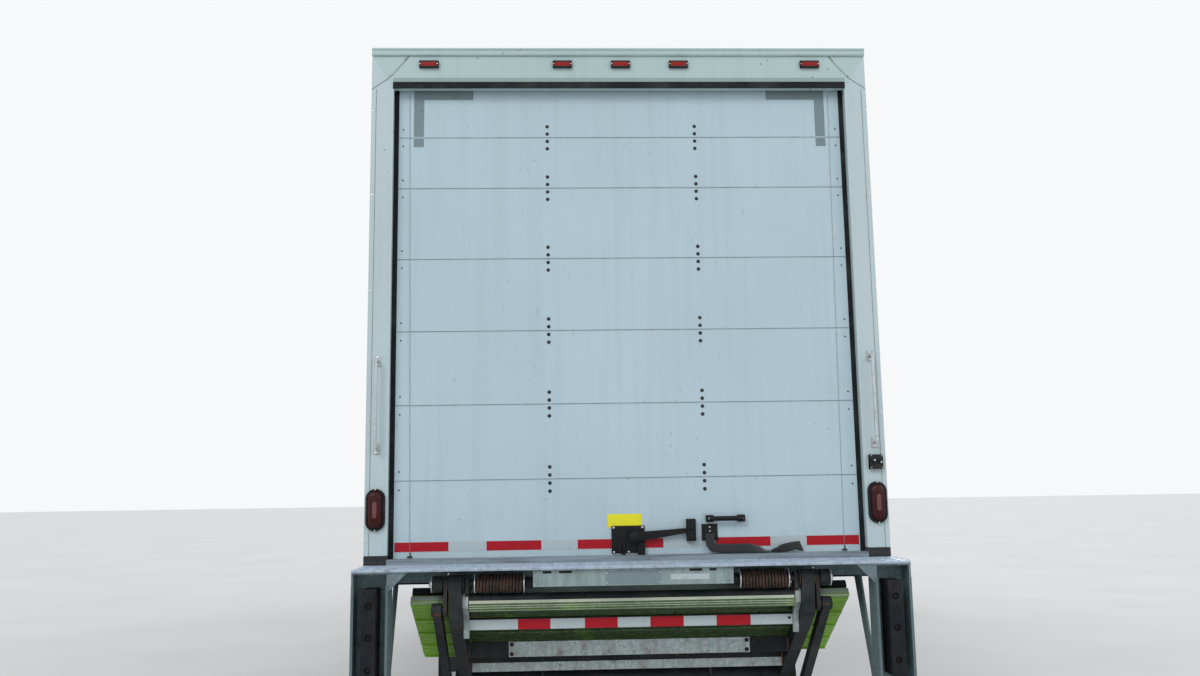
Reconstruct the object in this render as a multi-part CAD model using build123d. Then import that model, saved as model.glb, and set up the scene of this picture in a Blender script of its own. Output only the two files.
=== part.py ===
from build123d import *
import os
from math import cos, pi, radians, sin

# Box truck: ladder frame, dry van body with a roll-up rear door, tuck-under liftgate and a
# conventional cab. Millimetres. +Y is forward, +X is the right side, +Z is up, and the origin
# is on the ground under the middle of the overall length and width.

os.makedirs("parts", exist_ok=True)

# Overall layout
body_length = 7925
body_width = 2591
body_height = 2617
deck_height = 1270
dock_depth = 290
bumper_proud = 15
cab_gap = 130
cab_length = 2720
front_setback = 1000
wheelbase = 6650
seat_gap = 0.3
running_gap = 0.5

# Van body
floor_thickness = 35
crossmember_height = 100
crossmember_flange = 60
crossmember_web = 8
crossmember_pitch = 406
long_sill_height = 76
wall_thickness = 26
wall_rail_proud = 5
bottom_rail_height = 150
top_rail_height = 110
roof_thickness = 28
roof_crown = 14
front_corner_radius = 95
front_return = 170
post_width = 110
frame_depth = 150
header_height = 217
header_cap_height = 38
header_cap_proud = 12
header_lip_height = 29
post_lift = 20
sill_height = 110

# Roll-up door
door_half_width = 1160
door_thickness = 20
door_recess = 55
panel_joint_gap = 0.5
door_panels = (379, 375, 375, 375, 375, 273, 295)
seal_depth = 50

# Rear fittings
tail_lamp_width = 95
tail_lamp_height = 205
tail_lamp_rise = 240
tail_lamp_depth = 40
marker_width = 100
marker_height = 37
marker_proud = 16
marker_rise = 2530
marker_places = (-1000, -305, 0, 305, 1000)
switch_width = 66
switch_height = 72
switch_proud = 25
switch_rise = 440
grab_low = 530
grab_high = 980
grab_radius = 7
grab_standoff = 45

# Dock plate, legs and bumpers
dock_drop = 26
dock_plate_thickness = 8
dock_lip = 12
bumper_drop = 66
leg_width = 170
leg_depth = 110
leg_thickness = 9
leg_bottom_z = 450
dock_bumper_width = 66
dock_bumper_height = 430

# Frame, axles and wheels
rail_height = 270
rail_flange = 75
rail_spread = 865
rail_thickness = 10
rail_rear_gap = 640
rail_nose_gap = 330
tyre_radius = 525
tyre_width = 280
bead_radius = 286
front_track = 2040
twin_track = 1830
twin_spacing = 330
kingpin_x = 870
steering_arm_length = 210
spring_width = 70
hub_bore = 35
rear_hub_bore = 50

# Liftgate, measured from the rear face and down from the deck
gate_pivot_ahead = 470
gate_pivot_drop = 650
gate_tip_behind = 165
gate_tip_drop = 104
gate_tube_radius = 45
arm_low_x = 800
arm_high_x = 860
link_low_x = 895
link_high_x = 935
arm_half_depth = 40
link_drop = 120
link_half_depth = 24
platform_half_width = 1050
platform_section = 42
platform_edge_behind = 68
platform_edge_drop = 165
platform_length = 640
platform_slope = 31.5
spring_radius = 48
shaft_radius = 18

# Cab
cab_half_width = 1030
cab_wall = 60
cab_floor_rise = 51
cab_height = 1610
belt_rise = 840
cab_sill_tuck = 60
door_gap = 8
door_rear_inset = 180
door_front_inset = 1310
glass_inset = 24
glass_thickness = 8
hood_wall = 26
fender_half_width = 1200
arch_radius = 612
bumper_half_width = 1200
bumper_thickness = 70
bumper_low_z = 440
bumper_high_z = 660
tank_radius = 270

# Levels and stations that follow from the sizes above
overall_length = bumper_proud + dock_depth + body_length + cab_gap + cab_length
rear_face_y = -overall_length / 2 + bumper_proud + dock_depth
body_front_y = rear_face_y + body_length
cab_back_y = body_front_y + cab_gap
nose_y = cab_back_y + cab_length
front_axle_y = nose_y - front_setback
rear_axle_y = front_axle_y - wheelbase
half_body = body_width / 2
body_top_z = deck_height + body_height
floor_under_z = deck_height - floor_thickness
crossmember_under_z = floor_under_z - crossmember_height
rail_top_z = crossmember_under_z - long_sill_height
rail_under_z = rail_top_z - rail_height
rail_outer_x = rail_spread / 2
rail_inner_x = rail_outer_x - rail_flange
rail_mid_x = (rail_outer_x + rail_inner_x) / 2
rail_rear_y = rear_face_y + rail_rear_gap
rail_front_y = nose_y - rail_nose_gap
opening_half_width = half_body - post_width
header_under_z = body_top_z - header_height
frame_front_y = rear_face_y + frame_depth
door_face_y = rear_face_y + door_recess
wall_outer_x = half_body - wall_rail_proud
wall_inner_x = wall_outer_x - wall_thickness
dock_top_z = deck_height - dock_drop
dock_rear_y = rear_face_y - dock_depth
post_mid_x = half_body - post_width / 2
axle_z = tyre_radius
cab_floor_z = rail_top_z + cab_floor_rise
cab_roof_z = cab_floor_z + cab_height
belt_z = cab_floor_z + belt_rise


def block(x, y, z):
    """A box between two values on each axis, each given as (low, high)."""
    size = [high - low for low, high in (x, y, z)]
    middle = [(low + high) / 2 for low, high in (x, y, z)]
    return Pos(*middle) * Box(*size)


def outline(points, radius):
    """A closed outline of straight runs, with its corners rounded when a radius is given."""
    if radius:
        return Wire(FilletPolyline(*points, radius=radius, close=True).edges())
    return Wire.make_polygon(points, close=True)


def along_x(points, low, high, radius=0):
    """Push an outline of (y, z) corners from low to high along X."""
    wire = outline([(low, y, z) for y, z in points], radius)
    return extrude(Face(wire), amount=high - low, dir=(1, 0, 0))


def along_y(points, low, high, radius=0):
    """Push an outline of (x, z) corners from low to high along Y."""
    wire = outline([(x, low, z) for x, z in points], radius)
    return extrude(Face(wire), amount=high - low, dir=(0, 1, 0))


def along_z(points, low, high, radius=0):
    """Push an outline of (x, y) corners from low to high along Z."""
    wire = outline([(x, y, low) for x, y in points], radius)
    return extrude(Face(wire), amount=high - low, dir=(0, 0, 1))


def rod_x(y, z, radius, low, high):
    return Pos((low + high) / 2, y, z) * Rot(0, 90, 0) * Cylinder(radius, high - low)


def rod_y(x, z, radius, low, high):
    return Pos(x, (low + high) / 2, z) * Rot(90, 0, 0) * Cylinder(radius, high - low)


def rod_z(x, y, radius, low, high):
    return Pos(x, y, (low + high) / 2) * Cylinder(radius, high - low)


def ring_x(section, x, y, z, direction=1):
    """Turn an outline of (distance along the axle, radius) corners about a line along X."""
    face = Face(Wire.make_polygon([(direction * along, 0, radius) for along, radius in section], close=True))
    return Pos(x, y, z) * revolve(face, Axis.X, 360)


def twin(shape):
    """The same shape on the other side of the truck."""
    return mirror(shape, Plane.YZ)


def symmetric(points):
    """Close an outline of right-hand corners, listed upwards, with its left-hand twin."""
    return list(points) + [(-x, other) for x, other in reversed(points)]


def save(name, *shapes):
    solids = [solid for shape in shapes for solid in shape.solids()]
    export_step(Compound(children=solids), os.path.join("parts", name + ".step"))


# Ladder frame
def channel(web_x, inner_x, low_z, high_z, thickness):
    """A channel's section with its web at web_x and its flanges reaching inwards."""
    return [
        (web_x, low_z), (web_x, high_z), (inner_x, high_z), (inner_x, high_z - thickness),
        (web_x - thickness, high_z - thickness), (web_x - thickness, low_z + thickness),
        (inner_x, low_z + thickness), (inner_x, low_z),
    ]


frame_ties_from_rear_axle = (-1150, 1150, 2600, 4050, 5200)
rear_tie_gap = 185
tie_depth = 80
tie_inset = 25
flap_bar_behind = 640
flap_bar_size = 36
flap_outer_x = 1225
flap_inner_x = 605
flap_low_z = 260
flap_thickness = 8
hood_hinge_y = nose_y - 140
hood_hinge_z = 735
hood_pin_radius = 12
hood_pin_reach = 70


def frame_tie(y):
    """A cross channel between the webs of the two rails."""
    low_z = rail_under_z + tie_inset + rail_thickness
    high_z = rail_top_z - tie_inset - rail_thickness
    section = [
        (y, low_z), (y + tie_depth, low_z), (y + tie_depth, low_z + rail_thickness),
        (y + rail_thickness, low_z + rail_thickness), (y + rail_thickness, high_z - rail_thickness),
        (y + tie_depth, high_z - rail_thickness), (y + tie_depth, high_z), (y, high_z),
    ]
    web_x = rail_outer_x - rail_thickness
    return along_x(section, -web_x, web_x)


def frame_rails():
    section = channel(rail_outer_x, rail_inner_x, rail_under_z, rail_top_z, rail_thickness)
    rail = along_y(section, rail_rear_y, rail_front_y)
    bumper_back_y = nose_y - bumper_thickness
    bracket = along_x(
        [
            (rail_front_y - 120, rail_under_z + 30), (rail_front_y - 60, rail_top_z - 60),
            (rail_front_y + 10, rail_top_z - 60), (hood_hinge_y, hood_hinge_z + 20), (hood_hinge_y + 18, hood_hinge_z),
            (bumper_back_y, bumper_high_z - 20), (bumper_back_y, bumper_low_z + 40),
            (bumper_back_y - 60, bumper_low_z + 40),
        ],
        rail_outer_x, rail_outer_x + 14,
    )
    pin = rod_x(hood_hinge_y, hood_hinge_z, hood_pin_radius, rail_outer_x, rail_outer_x + hood_pin_reach)
    flap_y = rear_axle_y - flap_bar_behind
    flap_bar = block(
        (rail_outer_x - 2, flap_outer_x),
        (flap_y - flap_bar_size, flap_y),
        (rail_top_z - 70 - flap_bar_size, rail_top_z - 70),
    )
    side = rail + bracket + pin + flap_bar
    ladder = side + twin(side)
    for ahead in frame_ties_from_rear_axle:
        ladder += frame_tie(rear_axle_y + ahead)
    ladder += frame_tie(rail_front_y - tie_depth)
    ladder += frame_tie(rail_rear_y)
    ladder += frame_tie(rail_rear_y + rear_tie_gap)
    return ladder


def mudflaps():
    flap_y = rear_axle_y - flap_bar_behind
    flap = block(
        (flap_inner_x, flap_outer_x),
        (flap_y, flap_y + flap_thickness),
        (flap_low_z, rail_top_z - 70),
    )
    return flap, twin(flap)


# Van body
def crossmember_stations():
    first = frame_front_y + crossmember_flange
    last = body_front_y - crossmember_flange
    count = int((last - first) // crossmember_pitch)
    return [first + index * crossmember_pitch for index in range(count + 1)]


def long_sills():
    sill = block((rail_inner_x, rail_outer_x), (frame_front_y, body_front_y), (rail_top_z, crossmember_under_z))
    return sill, twin(sill)


def floor_crossmembers():
    """I-section beams across the two long sills."""
    half_flange = crossmember_flange / 2
    half_web = crossmember_web / 2
    low, high = crossmember_under_z, floor_under_z
    right_side = [
        (half_flange, low), (half_flange, low + crossmember_web), (half_web, low + crossmember_web),
        (half_web, high - crossmember_web), (half_flange, high - crossmember_web), (half_flange, high),
    ]
    return [
        along_x([(station + across, z) for across, z in symmetric(right_side)], -wall_inner_x, wall_inner_x)
        for station in crossmember_stations()
    ]


def inside_plan(low_z, high_z):
    """The load space between the walls, with the front wall's rounded corners."""
    front_y = body_front_y - wall_thickness - wall_rail_proud
    corners = symmetric([(wall_inner_x, frame_front_y - 300), (wall_inner_x, front_y)])
    plan = along_z(corners, low_z, high_z, front_corner_radius - wall_thickness)
    return plan & block((-wall_inner_x, wall_inner_x), (frame_front_y, front_y), (low_z, high_z))


def body_floor():
    return inside_plan(floor_under_z, deck_height)


def side_walls():
    low_z = crossmember_under_z
    high_z = body_top_z - roof_crown
    section = [
        (wall_inner_x, low_z), (half_body, low_z), (half_body, low_z + bottom_rail_height),
        (wall_outer_x, low_z + bottom_rail_height + 8), (wall_outer_x, high_z - top_rail_height - 8),
        (half_body, high_z - top_rail_height), (half_body, high_z - 22), (half_body - 18, high_z),
        (wall_inner_x, high_z),
    ]
    wall = along_y(section, frame_front_y, body_front_y - front_return)
    return wall, twin(wall)


def front_wall():
    rear_y = body_front_y - front_return
    low_z, high_z = crossmember_under_z, body_top_z - roof_crown

    def shell(inset, radius):
        corners = [(half_body - inset, rear_y - 300), (half_body - inset, body_front_y - inset)]
        return along_z(symmetric(corners), low_z, high_z, radius)

    wall = shell(0, front_corner_radius) - shell(wall_thickness + wall_rail_proud,
                                                 front_corner_radius - wall_thickness)
    return wall & block((-half_body, half_body), (rear_y, body_front_y), (low_z, high_z))


def roof():
    edge_z = body_top_z - roof_crown
    section = [
        (wall_inner_x, edge_z - roof_thickness), (wall_inner_x, edge_z), (wall_inner_x / 2, body_top_z - 4),
        (0, body_top_z), (-wall_inner_x / 2, body_top_z - 4), (-wall_inner_x, edge_z),
        (-wall_inner_x, edge_z - roof_thickness),
    ]
    sheet = along_y(section, frame_front_y, body_front_y)
    return sheet & inside_plan(edge_z - roof_thickness, body_top_z)


def rear_posts():
    """The two side members of the rear frame, mitred at the top, with the tail lamp's recess."""
    post = along_y(
        [
            (half_body, deck_height + post_lift), (half_body, body_top_z - header_cap_height),
            (opening_half_width, header_under_z), (opening_half_width, deck_height + post_lift),
        ],
        rear_face_y, frame_front_y,
    )
    recess = lamp_form(tail_lamp_width, tail_lamp_height, rear_face_y - 5, rear_face_y + tail_lamp_depth)
    post -= recess
    return post, twin(post)


def lamp_form(width, height, low_y, high_y):
    """An oval lamp's body in the right post, from low_y to high_y."""
    face = SlotOverall(height, width, rotation=90)
    plane = Plane(origin=(post_mid_x, high_y, deck_height + tail_lamp_rise), x_dir=(1, 0, 0), z_dir=(0, -1, 0))
    return extrude(plane * face, amount=high_y - low_y)


def rear_header():
    """The top member: drip cap, face with mitred ends and the lower return lip."""
    cap_under_z = body_top_z - header_cap_height
    face = along_y(
        [
            (half_body, cap_under_z), (opening_half_width, header_under_z),
            (-opening_half_width, header_under_z), (-half_body, cap_under_z),
        ],
        rear_face_y, frame_front_y,
    )
    throat = block(
        (-opening_half_width - 1, opening_half_width + 1),
        (rear_face_y + header_lip_height, frame_front_y + 1),
        (header_under_z - 1, header_under_z + header_lip_height * 3),
    )
    cap = along_x(
        [
            (rear_face_y - header_cap_proud, cap_under_z + 6), (rear_face_y - header_cap_proud, body_top_z - 4),
            (rear_face_y, body_top_z), (frame_front_y, body_top_z), (frame_front_y, cap_under_z),
            (rear_face_y, cap_under_z),
        ],
        -half_body, half_body,
    )
    return face - throat + cap


def rear_sill():
    """The black sill under the door, with a foot under each post."""
    foot_x = opening_half_width
    section = [
        (half_body, deck_height - sill_height), (half_body, deck_height + post_lift),
        (foot_x, deck_height + post_lift), (foot_x, deck_height),
    ]
    return along_y(symmetric(section), rear_face_y, frame_front_y)


def door():
    panels = []
    low_z = deck_height + panel_joint_gap
    for height in door_panels:
        high_z = low_z + height - panel_joint_gap
        panels.append(block((-door_half_width, door_half_width), (door_face_y, door_face_y + door_thickness),
                            (low_z, high_z)))
        low_z = high_z + panel_joint_gap
    return panels


def door_seals():
    """Rubber strips that close the gap between the door's edges and the posts."""
    strip = block((door_half_width + seat_gap, opening_half_width), (door_face_y, door_face_y + seal_depth),
                  (deck_height, header_under_z))
    return strip, twin(strip)


# Door hardware, each piece placed across from the middle and up from the deck
latch_plate = (-85, 80, 10, 143)
latch_hub_x = 26
latch_bar_end_x = 310
latch_bar_rise = 118
handle_span = (387, 580)
handle_rise = 172
strap_bracket = (365, 444, 65, 145)
hardware_plate = 8


def door_latch():
    face_y = door_face_y

    def plate(low_x, high_x, low_rise, high_rise, thickness=hardware_plate):
        return block((low_x, high_x), (face_y - thickness, face_y), (deck_height + low_rise, deck_height + high_rise))

    latch = plate(*latch_plate)
    latch += rod_y(latch_hub_x, deck_height + latch_bar_rise - 30, 30, face_y - 34, face_y)
    latch += along_y(
        [
            (latch_hub_x - 12, deck_height + 70), (latch_hub_x + 22, deck_height + 66),
            (latch_bar_end_x, deck_height + latch_bar_rise - 11), (latch_bar_end_x, deck_height + latch_bar_rise + 11),
            (latch_hub_x + 18, deck_height + 112),
        ],
        face_y - 30, face_y - 16,
    )
    latch += plate(latch_bar_end_x - 22, latch_bar_end_x + 23, latch_bar_rise - 54, latch_bar_rise + 54, 34)
    latch += plate(latch_plate[1] - 34, latch_plate[1], 2, 60, 26)
    low_x, high_x = handle_span
    handle = rod_x(face_y - 36, deck_height + handle_rise, 12, low_x + 12, high_x - 12)
    for x in handle_span:
        inward = 36 if x == low_x else -36
        handle += plate(min(x, x + inward), max(x, x + inward), handle_rise - 17, handle_rise + 17, 36)
    bracket = plate(*strap_bracket)
    bracket += rod_x(face_y - 14, deck_height + strap_bracket[2] + 14, 7, strap_bracket[0], strap_bracket[1])
    return latch, handle, bracket


strap_width = 45
strap_thickness = 4


def pull_strap():
    """Webbing that drops from its bracket and lies along the foot of the door."""
    low_x = strap_bracket[0]
    course = [
        (low_x + 8, 62), (low_x + 52, 62), (560, 40), (690, 46), (800, 52), (880, 42),
        (880, 0), (790, 3), (690, 0), (550, 0), (low_x + 40, 6), (low_x + 8, 20),
    ]
    points = [(x, deck_height + rise) for x, rise in course]
    return along_y(points, door_face_y - 14 - strap_thickness, door_face_y - 14)


def rear_lamps():
    front_y = rear_face_y + tail_lamp_depth - seat_gap
    tail = lamp_form(tail_lamp_width - 2 * seat_gap, tail_lamp_height - 2 * seat_gap, rear_face_y - 9, front_y)
    lamps = [tail, twin(tail)]
    for x in marker_places:
        lamps.append(block((x - marker_width / 2, x + marker_width / 2), (rear_face_y - marker_proud, rear_face_y),
                           (deck_height + marker_rise - marker_height / 2, deck_height + marker_rise + marker_height / 2)))
        lamps.append(block((x - marker_width / 2, x + marker_width / 2), (body_front_y, body_front_y + marker_proud),
                           (deck_height + marker_rise - marker_height / 2, deck_height + marker_rise + marker_height / 2)))
    return lamps


def switch_box():
    middle_z = deck_height + switch_rise
    return block((post_mid_x - switch_width / 2, post_mid_x + switch_width / 2),
                 (rear_face_y - switch_proud, rear_face_y),
                 (middle_z - switch_height / 2, middle_z + switch_height / 2))


def grab_handles():
    rail_y = rear_face_y - grab_standoff
    low_z, high_z = deck_height + grab_low, deck_height + grab_high
    rail = rod_z(post_mid_x, rail_y, grab_radius, low_z, high_z)
    for z in (low_z + grab_radius, high_z - grab_radius):
        rail += rod_y(post_mid_x, z, grab_radius, rail_y, rear_face_y)
        rail += block((post_mid_x - 14, post_mid_x + 14), (rear_face_y - 5, rear_face_y), (z - 26, z + 26))
    return rail, twin(rail)


# Dock plate, legs and rubber bumpers
def dock_plate():
    under_z = dock_top_z - dock_plate_thickness
    plate = along_x(
        [
            (rear_face_y, dock_top_z), (dock_rear_y, dock_top_z), (dock_rear_y, dock_top_z - dock_lip),
            (dock_rear_y + dock_plate_thickness, dock_top_z - dock_lip),
            (dock_rear_y + dock_plate_thickness, under_z), (rear_face_y - 10, under_z),
            (rear_face_y - 10, deck_height - sill_height), (rear_face_y, deck_height - sill_height),
        ],
        -half_body, half_body,
    )
    inner_x = half_body - leg_width
    gusset = along_y(
        [(inner_x, under_z), (inner_x, under_z - 90), (inner_x - 90, under_z)],
        dock_rear_y + dock_plate_thickness, dock_rear_y + 2 * dock_plate_thickness,
    )
    box = block((-465, 465), (dock_rear_y + 20, dock_rear_y + 60), (under_z - 82, under_z))
    leg = dock_leg()
    return plate + gusset + twin(gusset) + box + leg + twin(leg)


def dock_leg():
    """A channel open to the rear that guards the corner, braced forward to the sill."""
    top_z = dock_top_z - dock_plate_thickness
    low_y = dock_rear_y + dock_plate_thickness
    inner_x = half_body - leg_width
    web_y = low_y + leg_depth
    leg = along_z(
        [
            (half_body, low_y), (half_body, web_y), (inner_x, web_y), (inner_x, low_y),
            (inner_x + leg_thickness, low_y), (inner_x + leg_thickness, web_y - leg_thickness),
            (half_body - leg_thickness, web_y - leg_thickness), (half_body - leg_thickness, low_y),
        ],
        leg_bottom_z, top_z - dock_lip,
    )
    leg += block((inner_x, half_body), (low_y, web_y), (top_z - dock_lip, top_z))
    sill_z = deck_height - sill_height
    brace = along_x(
        [
            (web_y, leg_bottom_z + 60), (web_y, leg_bottom_z + 170), (rear_face_y + 40, sill_z),
            (frame_front_y, sill_z),
        ],
        inner_x + 20, inner_x + 20 + leg_thickness,
    )
    return leg + brace


def dock_bumpers():
    top_z = dock_top_z - dock_plate_thickness - dock_lip - bumper_drop
    middle_x = half_body - leg_width / 2
    rubber = block((middle_x - dock_bumper_width / 2, middle_x + dock_bumper_width / 2),
                   (dock_rear_y - bumper_proud, dock_rear_y + dock_plate_thickness + leg_depth - leg_thickness),
                   (top_z - dock_bumper_height, top_z))
    return rubber, twin(rubber)


# Liftgate
pivot_y = rear_face_y + gate_pivot_ahead
pivot_z = deck_height - gate_pivot_drop
tip_y = rear_face_y - gate_tip_behind
tip_z = deck_height - gate_tip_drop
elbow_y = tip_y + 15
elbow_z = tip_z - 146
link_pivot_y = pivot_y - 10
link_pivot_z = pivot_z - link_drop
hub_radius = gate_tube_radius + 22
upper_tube_y = tip_y + 30
upper_tube_z = tip_z - 78
upper_tube_radius = 28
carrier_low_x = 870
carrier_high_x = 886
sleeve_radius = gate_tube_radius + 10
gate_hanger_length = 520
shaft_inner_x = 480
ear_outer_x = 784
ear_thickness = 16


def bar_outline(start, end, half_depth):
    """A bar's side outline of four corners about the line from start to end."""
    run_y, run_z = end[0] - start[0], end[1] - start[1]
    length = (run_y ** 2 + run_z ** 2) ** 0.5
    side_y, side_z = -run_z / length * half_depth, run_y / length * half_depth
    return [
        (start[0] + side_y, start[1] + side_z), (end[0] + side_y, end[1] + side_z),
        (end[0] - side_y, end[1] - side_z), (start[0] - side_y, start[1] - side_z),
    ]


def liftgate_frame():
    """Fixed pivot tube, its hangers from the frame rails and the carriers of the parallel links."""
    tube = rod_x(pivot_y, pivot_z, gate_tube_radius, -carrier_high_x, carrier_high_x)
    hanger = along_x(
        [
            (pivot_y - 60, pivot_z - 60), (pivot_y + 40, pivot_z - 70), (rail_rear_y + gate_hanger_length, rail_under_z + 40),
            (rail_rear_y + gate_hanger_length, rail_top_z - 40), (rail_rear_y, rail_top_z - 40), (rail_rear_y, rail_under_z + 60),
            (pivot_y - 60, pivot_z + 60),
        ],
        rail_outer_x, rail_outer_x + 14,
    )
    carrier = along_x(
        [
            (pivot_y - 62, pivot_z + 55), (pivot_y + 62, pivot_z + 55), (link_pivot_y + 50, link_pivot_z - 45),
            (link_pivot_y - 50, link_pivot_z - 45),
        ],
        carrier_low_x, carrier_high_x,
    )
    pin = rod_x(link_pivot_y, link_pivot_z, shaft_radius, carrier_low_x, link_high_x)
    base_hanger = along_x(
        [
            (base_y - 45, base_z - 40), (base_y + 45, base_z - 40), (base_y + 90, rail_under_z + 60),
            (base_y + 90, rail_top_z - 60), (base_y - 90, rail_top_z - 60), (base_y - 90, rail_under_z + 60),
        ],
        rail_outer_x, rail_outer_x + 14,
    )
    base_tube = rod_x(base_y, base_z, base_tube_radius, 0, cylinder_x + eye_half_width + 14)
    side = hanger + carrier + pin + base_hanger + base_tube
    return tube + side + twin(side)


def lift_arms():
    """Two cranked arms joined by the taped cross bar, two cross channels and the upper tube."""
    arm = along_x(bar_outline((pivot_y, pivot_z), (elbow_y, elbow_z), arm_half_depth), arm_low_x, arm_high_x)
    arm += along_x(bar_outline((elbow_y, elbow_z), (tip_y, tip_z), arm_half_depth), arm_low_x, arm_high_x)
    arm += rod_x(elbow_y, elbow_z, arm_half_depth, arm_low_x, arm_high_x)
    arm += rod_x(pivot_y, pivot_z, hub_radius, arm_low_x, arm_high_x)
    arm += rod_x(tip_y, tip_z, arm_half_depth, arm_low_x, arm_high_x)
    arm -= rod_x(pivot_y, pivot_z, gate_tube_radius + running_gap, arm_low_x - 1, arm_high_x + 1)
    arm += rod_x(tip_y, tip_z, shaft_radius, shaft_inner_x, link_high_x + 8)
    gate = arm + twin(arm)
    gate += rod_x(upper_tube_y, upper_tube_z, upper_tube_radius, -arm_low_x - 1, arm_low_x + 1)
    for ear in platform_ears():
        gate += ear
    for side in (gate_crank(), twin(gate_crank())):
        gate += side
    bar_y, bar_z = elbow_y + 84, elbow_z - 54
    gate += block((-arm_low_x - 1, arm_low_x + 1), (bar_y - 22, bar_y + 22), (bar_z - 27, bar_z + 27))
    for share in (0.52, 0.76):
        middle_y = elbow_y + (pivot_y - elbow_y) * share
        middle_z = elbow_z + (pivot_z - elbow_z) * share
        gate += block((-arm_low_x - 1, arm_low_x + 1), (middle_y - 10, middle_y + 10), (middle_z - 36, middle_z + 36))
    return gate


# Lift cylinders: each pushes a crank under the pivot tube, between two cheeks
cylinder_x = 745
cylinder_radius = 34
rod_radius = 17
crank_reach = 120
crank_angle = -120
base_ahead = 620
base_drop = 90
eye_half_width = 18
cheek_thickness = 12
base_tube_radius = 26
base_y = pivot_y + base_ahead
base_z = pivot_z - base_drop
crank_y = pivot_y + crank_reach * cos(radians(crank_angle))
crank_z = pivot_z + crank_reach * sin(radians(crank_angle))


def gate_crank():
    """The sleeve that carries the crank's two cheeks, with the rod's eye free between them."""
    cheek_outline = bar_outline((pivot_y, pivot_z), (crank_y, crank_z), 30)
    high_x = cylinder_x + eye_half_width + 1 + cheek_thickness
    low_x = cylinder_x - eye_half_width - 1 - cheek_thickness
    crank = rod_x(pivot_y, pivot_z, sleeve_radius, low_x, arm_low_x)
    for start_x in (low_x, high_x - cheek_thickness):
        crank += along_x(cheek_outline, start_x, start_x + cheek_thickness)
        crank += rod_x(crank_y, crank_z, 30, start_x, start_x + cheek_thickness)
    for start_x in (low_x - 8, high_x):
        crank += rod_x(crank_y, crank_z, shaft_radius, start_x, start_x + 8)
    crank -= rod_x(pivot_y, pivot_z, gate_tube_radius + running_gap, low_x - 1, arm_low_x + 1)
    return crank


def along_cylinder(radius, low, high):
    """A round bar on the right cylinder's line, between two distances from its base pivot."""
    base = Vector(cylinder_x, base_y, base_z)
    run = (Vector(cylinder_x, crank_y, crank_z) - base).normalized()
    return Plane(origin=base + run * ((low + high) / 2), z_dir=run) * Cylinder(radius, high - low)


cylinder_length = ((base_y - crank_y) ** 2 + (base_z - crank_z) ** 2) ** 0.5
barrel_end = 480
rod_start = 320


def lift_barrels():
    low_x, high_x = cylinder_x - eye_half_width, cylinder_x + eye_half_width
    barrel = along_cylinder(cylinder_radius, 30, barrel_end)
    barrel += rod_x(base_y, base_z, base_tube_radius + 16, low_x, high_x)
    barrel -= rod_x(base_y, base_z, base_tube_radius + running_gap, low_x - 20, high_x + 20)
    barrel -= along_cylinder(rod_radius + running_gap, 80, barrel_end + 1)
    return barrel, twin(barrel)


def lift_rods():
    low_x, high_x = cylinder_x - eye_half_width, cylinder_x + eye_half_width
    rod = along_cylinder(rod_radius, rod_start, cylinder_length)
    rod += rod_x(crank_y, crank_z, shaft_radius + 14, low_x, high_x)
    return rod, twin(rod)


def platform_direction():
    angle = radians(platform_slope)
    return (cos(angle), -sin(angle)), (sin(angle), cos(angle))


def platform():
    """The folded platform: two deck sections face to face, with their ramp edges and hinge lugs."""
    (run_y, run_z), (up_y, up_z) = platform_direction()
    edge_y = rear_face_y - platform_edge_behind
    edge_z = deck_height - platform_edge_drop

    def at(along, up):
        return edge_y + run_y * along + up_y * up, edge_z + run_z * along + up_z * up

    def section(along_low, along_high, up_low, up_high, half_width):
        corners = [at(along_low, up_low), at(along_high, up_low), at(along_high, up_high), at(along_low, up_high)]
        return along_x(corners, -half_width, half_width)

    main = section(0, platform_length - 24, -platform_section, -0.4, platform_half_width)
    flip = section(18, platform_length, 0.4, platform_section, platform_half_width - 12)
    main += along_x([at(-14, -platform_section), at(0, -platform_section), at(0, -2), at(-14, -14)],
                    -platform_half_width, platform_half_width)
    return main, flip


def platform_ears():
    """Ears on the upper tube that carry the platform's rear edge below the shaft."""
    (run_y, run_z), (up_y, up_z) = platform_direction()
    edge_y = rear_face_y - platform_edge_behind
    edge_z = deck_height - platform_edge_drop
    root_y = edge_y + run_y * 60 - up_y * (platform_section + seat_gap)
    root_z = edge_z + run_z * 60 - up_z * (platform_section + seat_gap)
    heel_y = edge_y - 16 * run_y - up_y * (platform_section + seat_gap)
    heel_z = edge_z - 16 * run_z - up_z * (platform_section + seat_gap)
    ears = []
    for low_x in (ear_outer_x - ear_thickness, -ear_outer_x):
        ear = along_x(
            [(root_y, root_z), (heel_y, heel_z), (tip_y + 30, tip_z + 24), (tip_y - 24, tip_z + 24),
             (tip_y - 28, tip_z - 40), (root_y - 20, root_z - 30)],
            low_x, low_x + ear_thickness,
        )
        ears.append(ear)
    return ears


def torsion_springs():
    coil = rod_x(tip_y, tip_z, spring_radius - 6, 515, 735)
    coil += rod_x(tip_y, tip_z, spring_radius, 505, 515) + rod_x(tip_y, tip_z, spring_radius, 735, 745)
    coil -= rod_x(tip_y, tip_z, shaft_radius + seat_gap, 500, 750)
    return coil, twin(coil)


def parallel_links():
    start = (link_pivot_y, link_pivot_z)
    end = (tip_y - 10, tip_z - link_drop)
    link = along_x(bar_outline(start, end, link_half_depth), link_low_x, link_high_x)
    for y, z in (start, end):
        link += rod_x(y, z, shaft_radius + 14, link_low_x, link_high_x)
    for y, z in (start, end):
        link -= rod_x(y, z, shaft_radius + running_gap, link_low_x - 1, link_high_x + 1)
    return link, twin(link)


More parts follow.
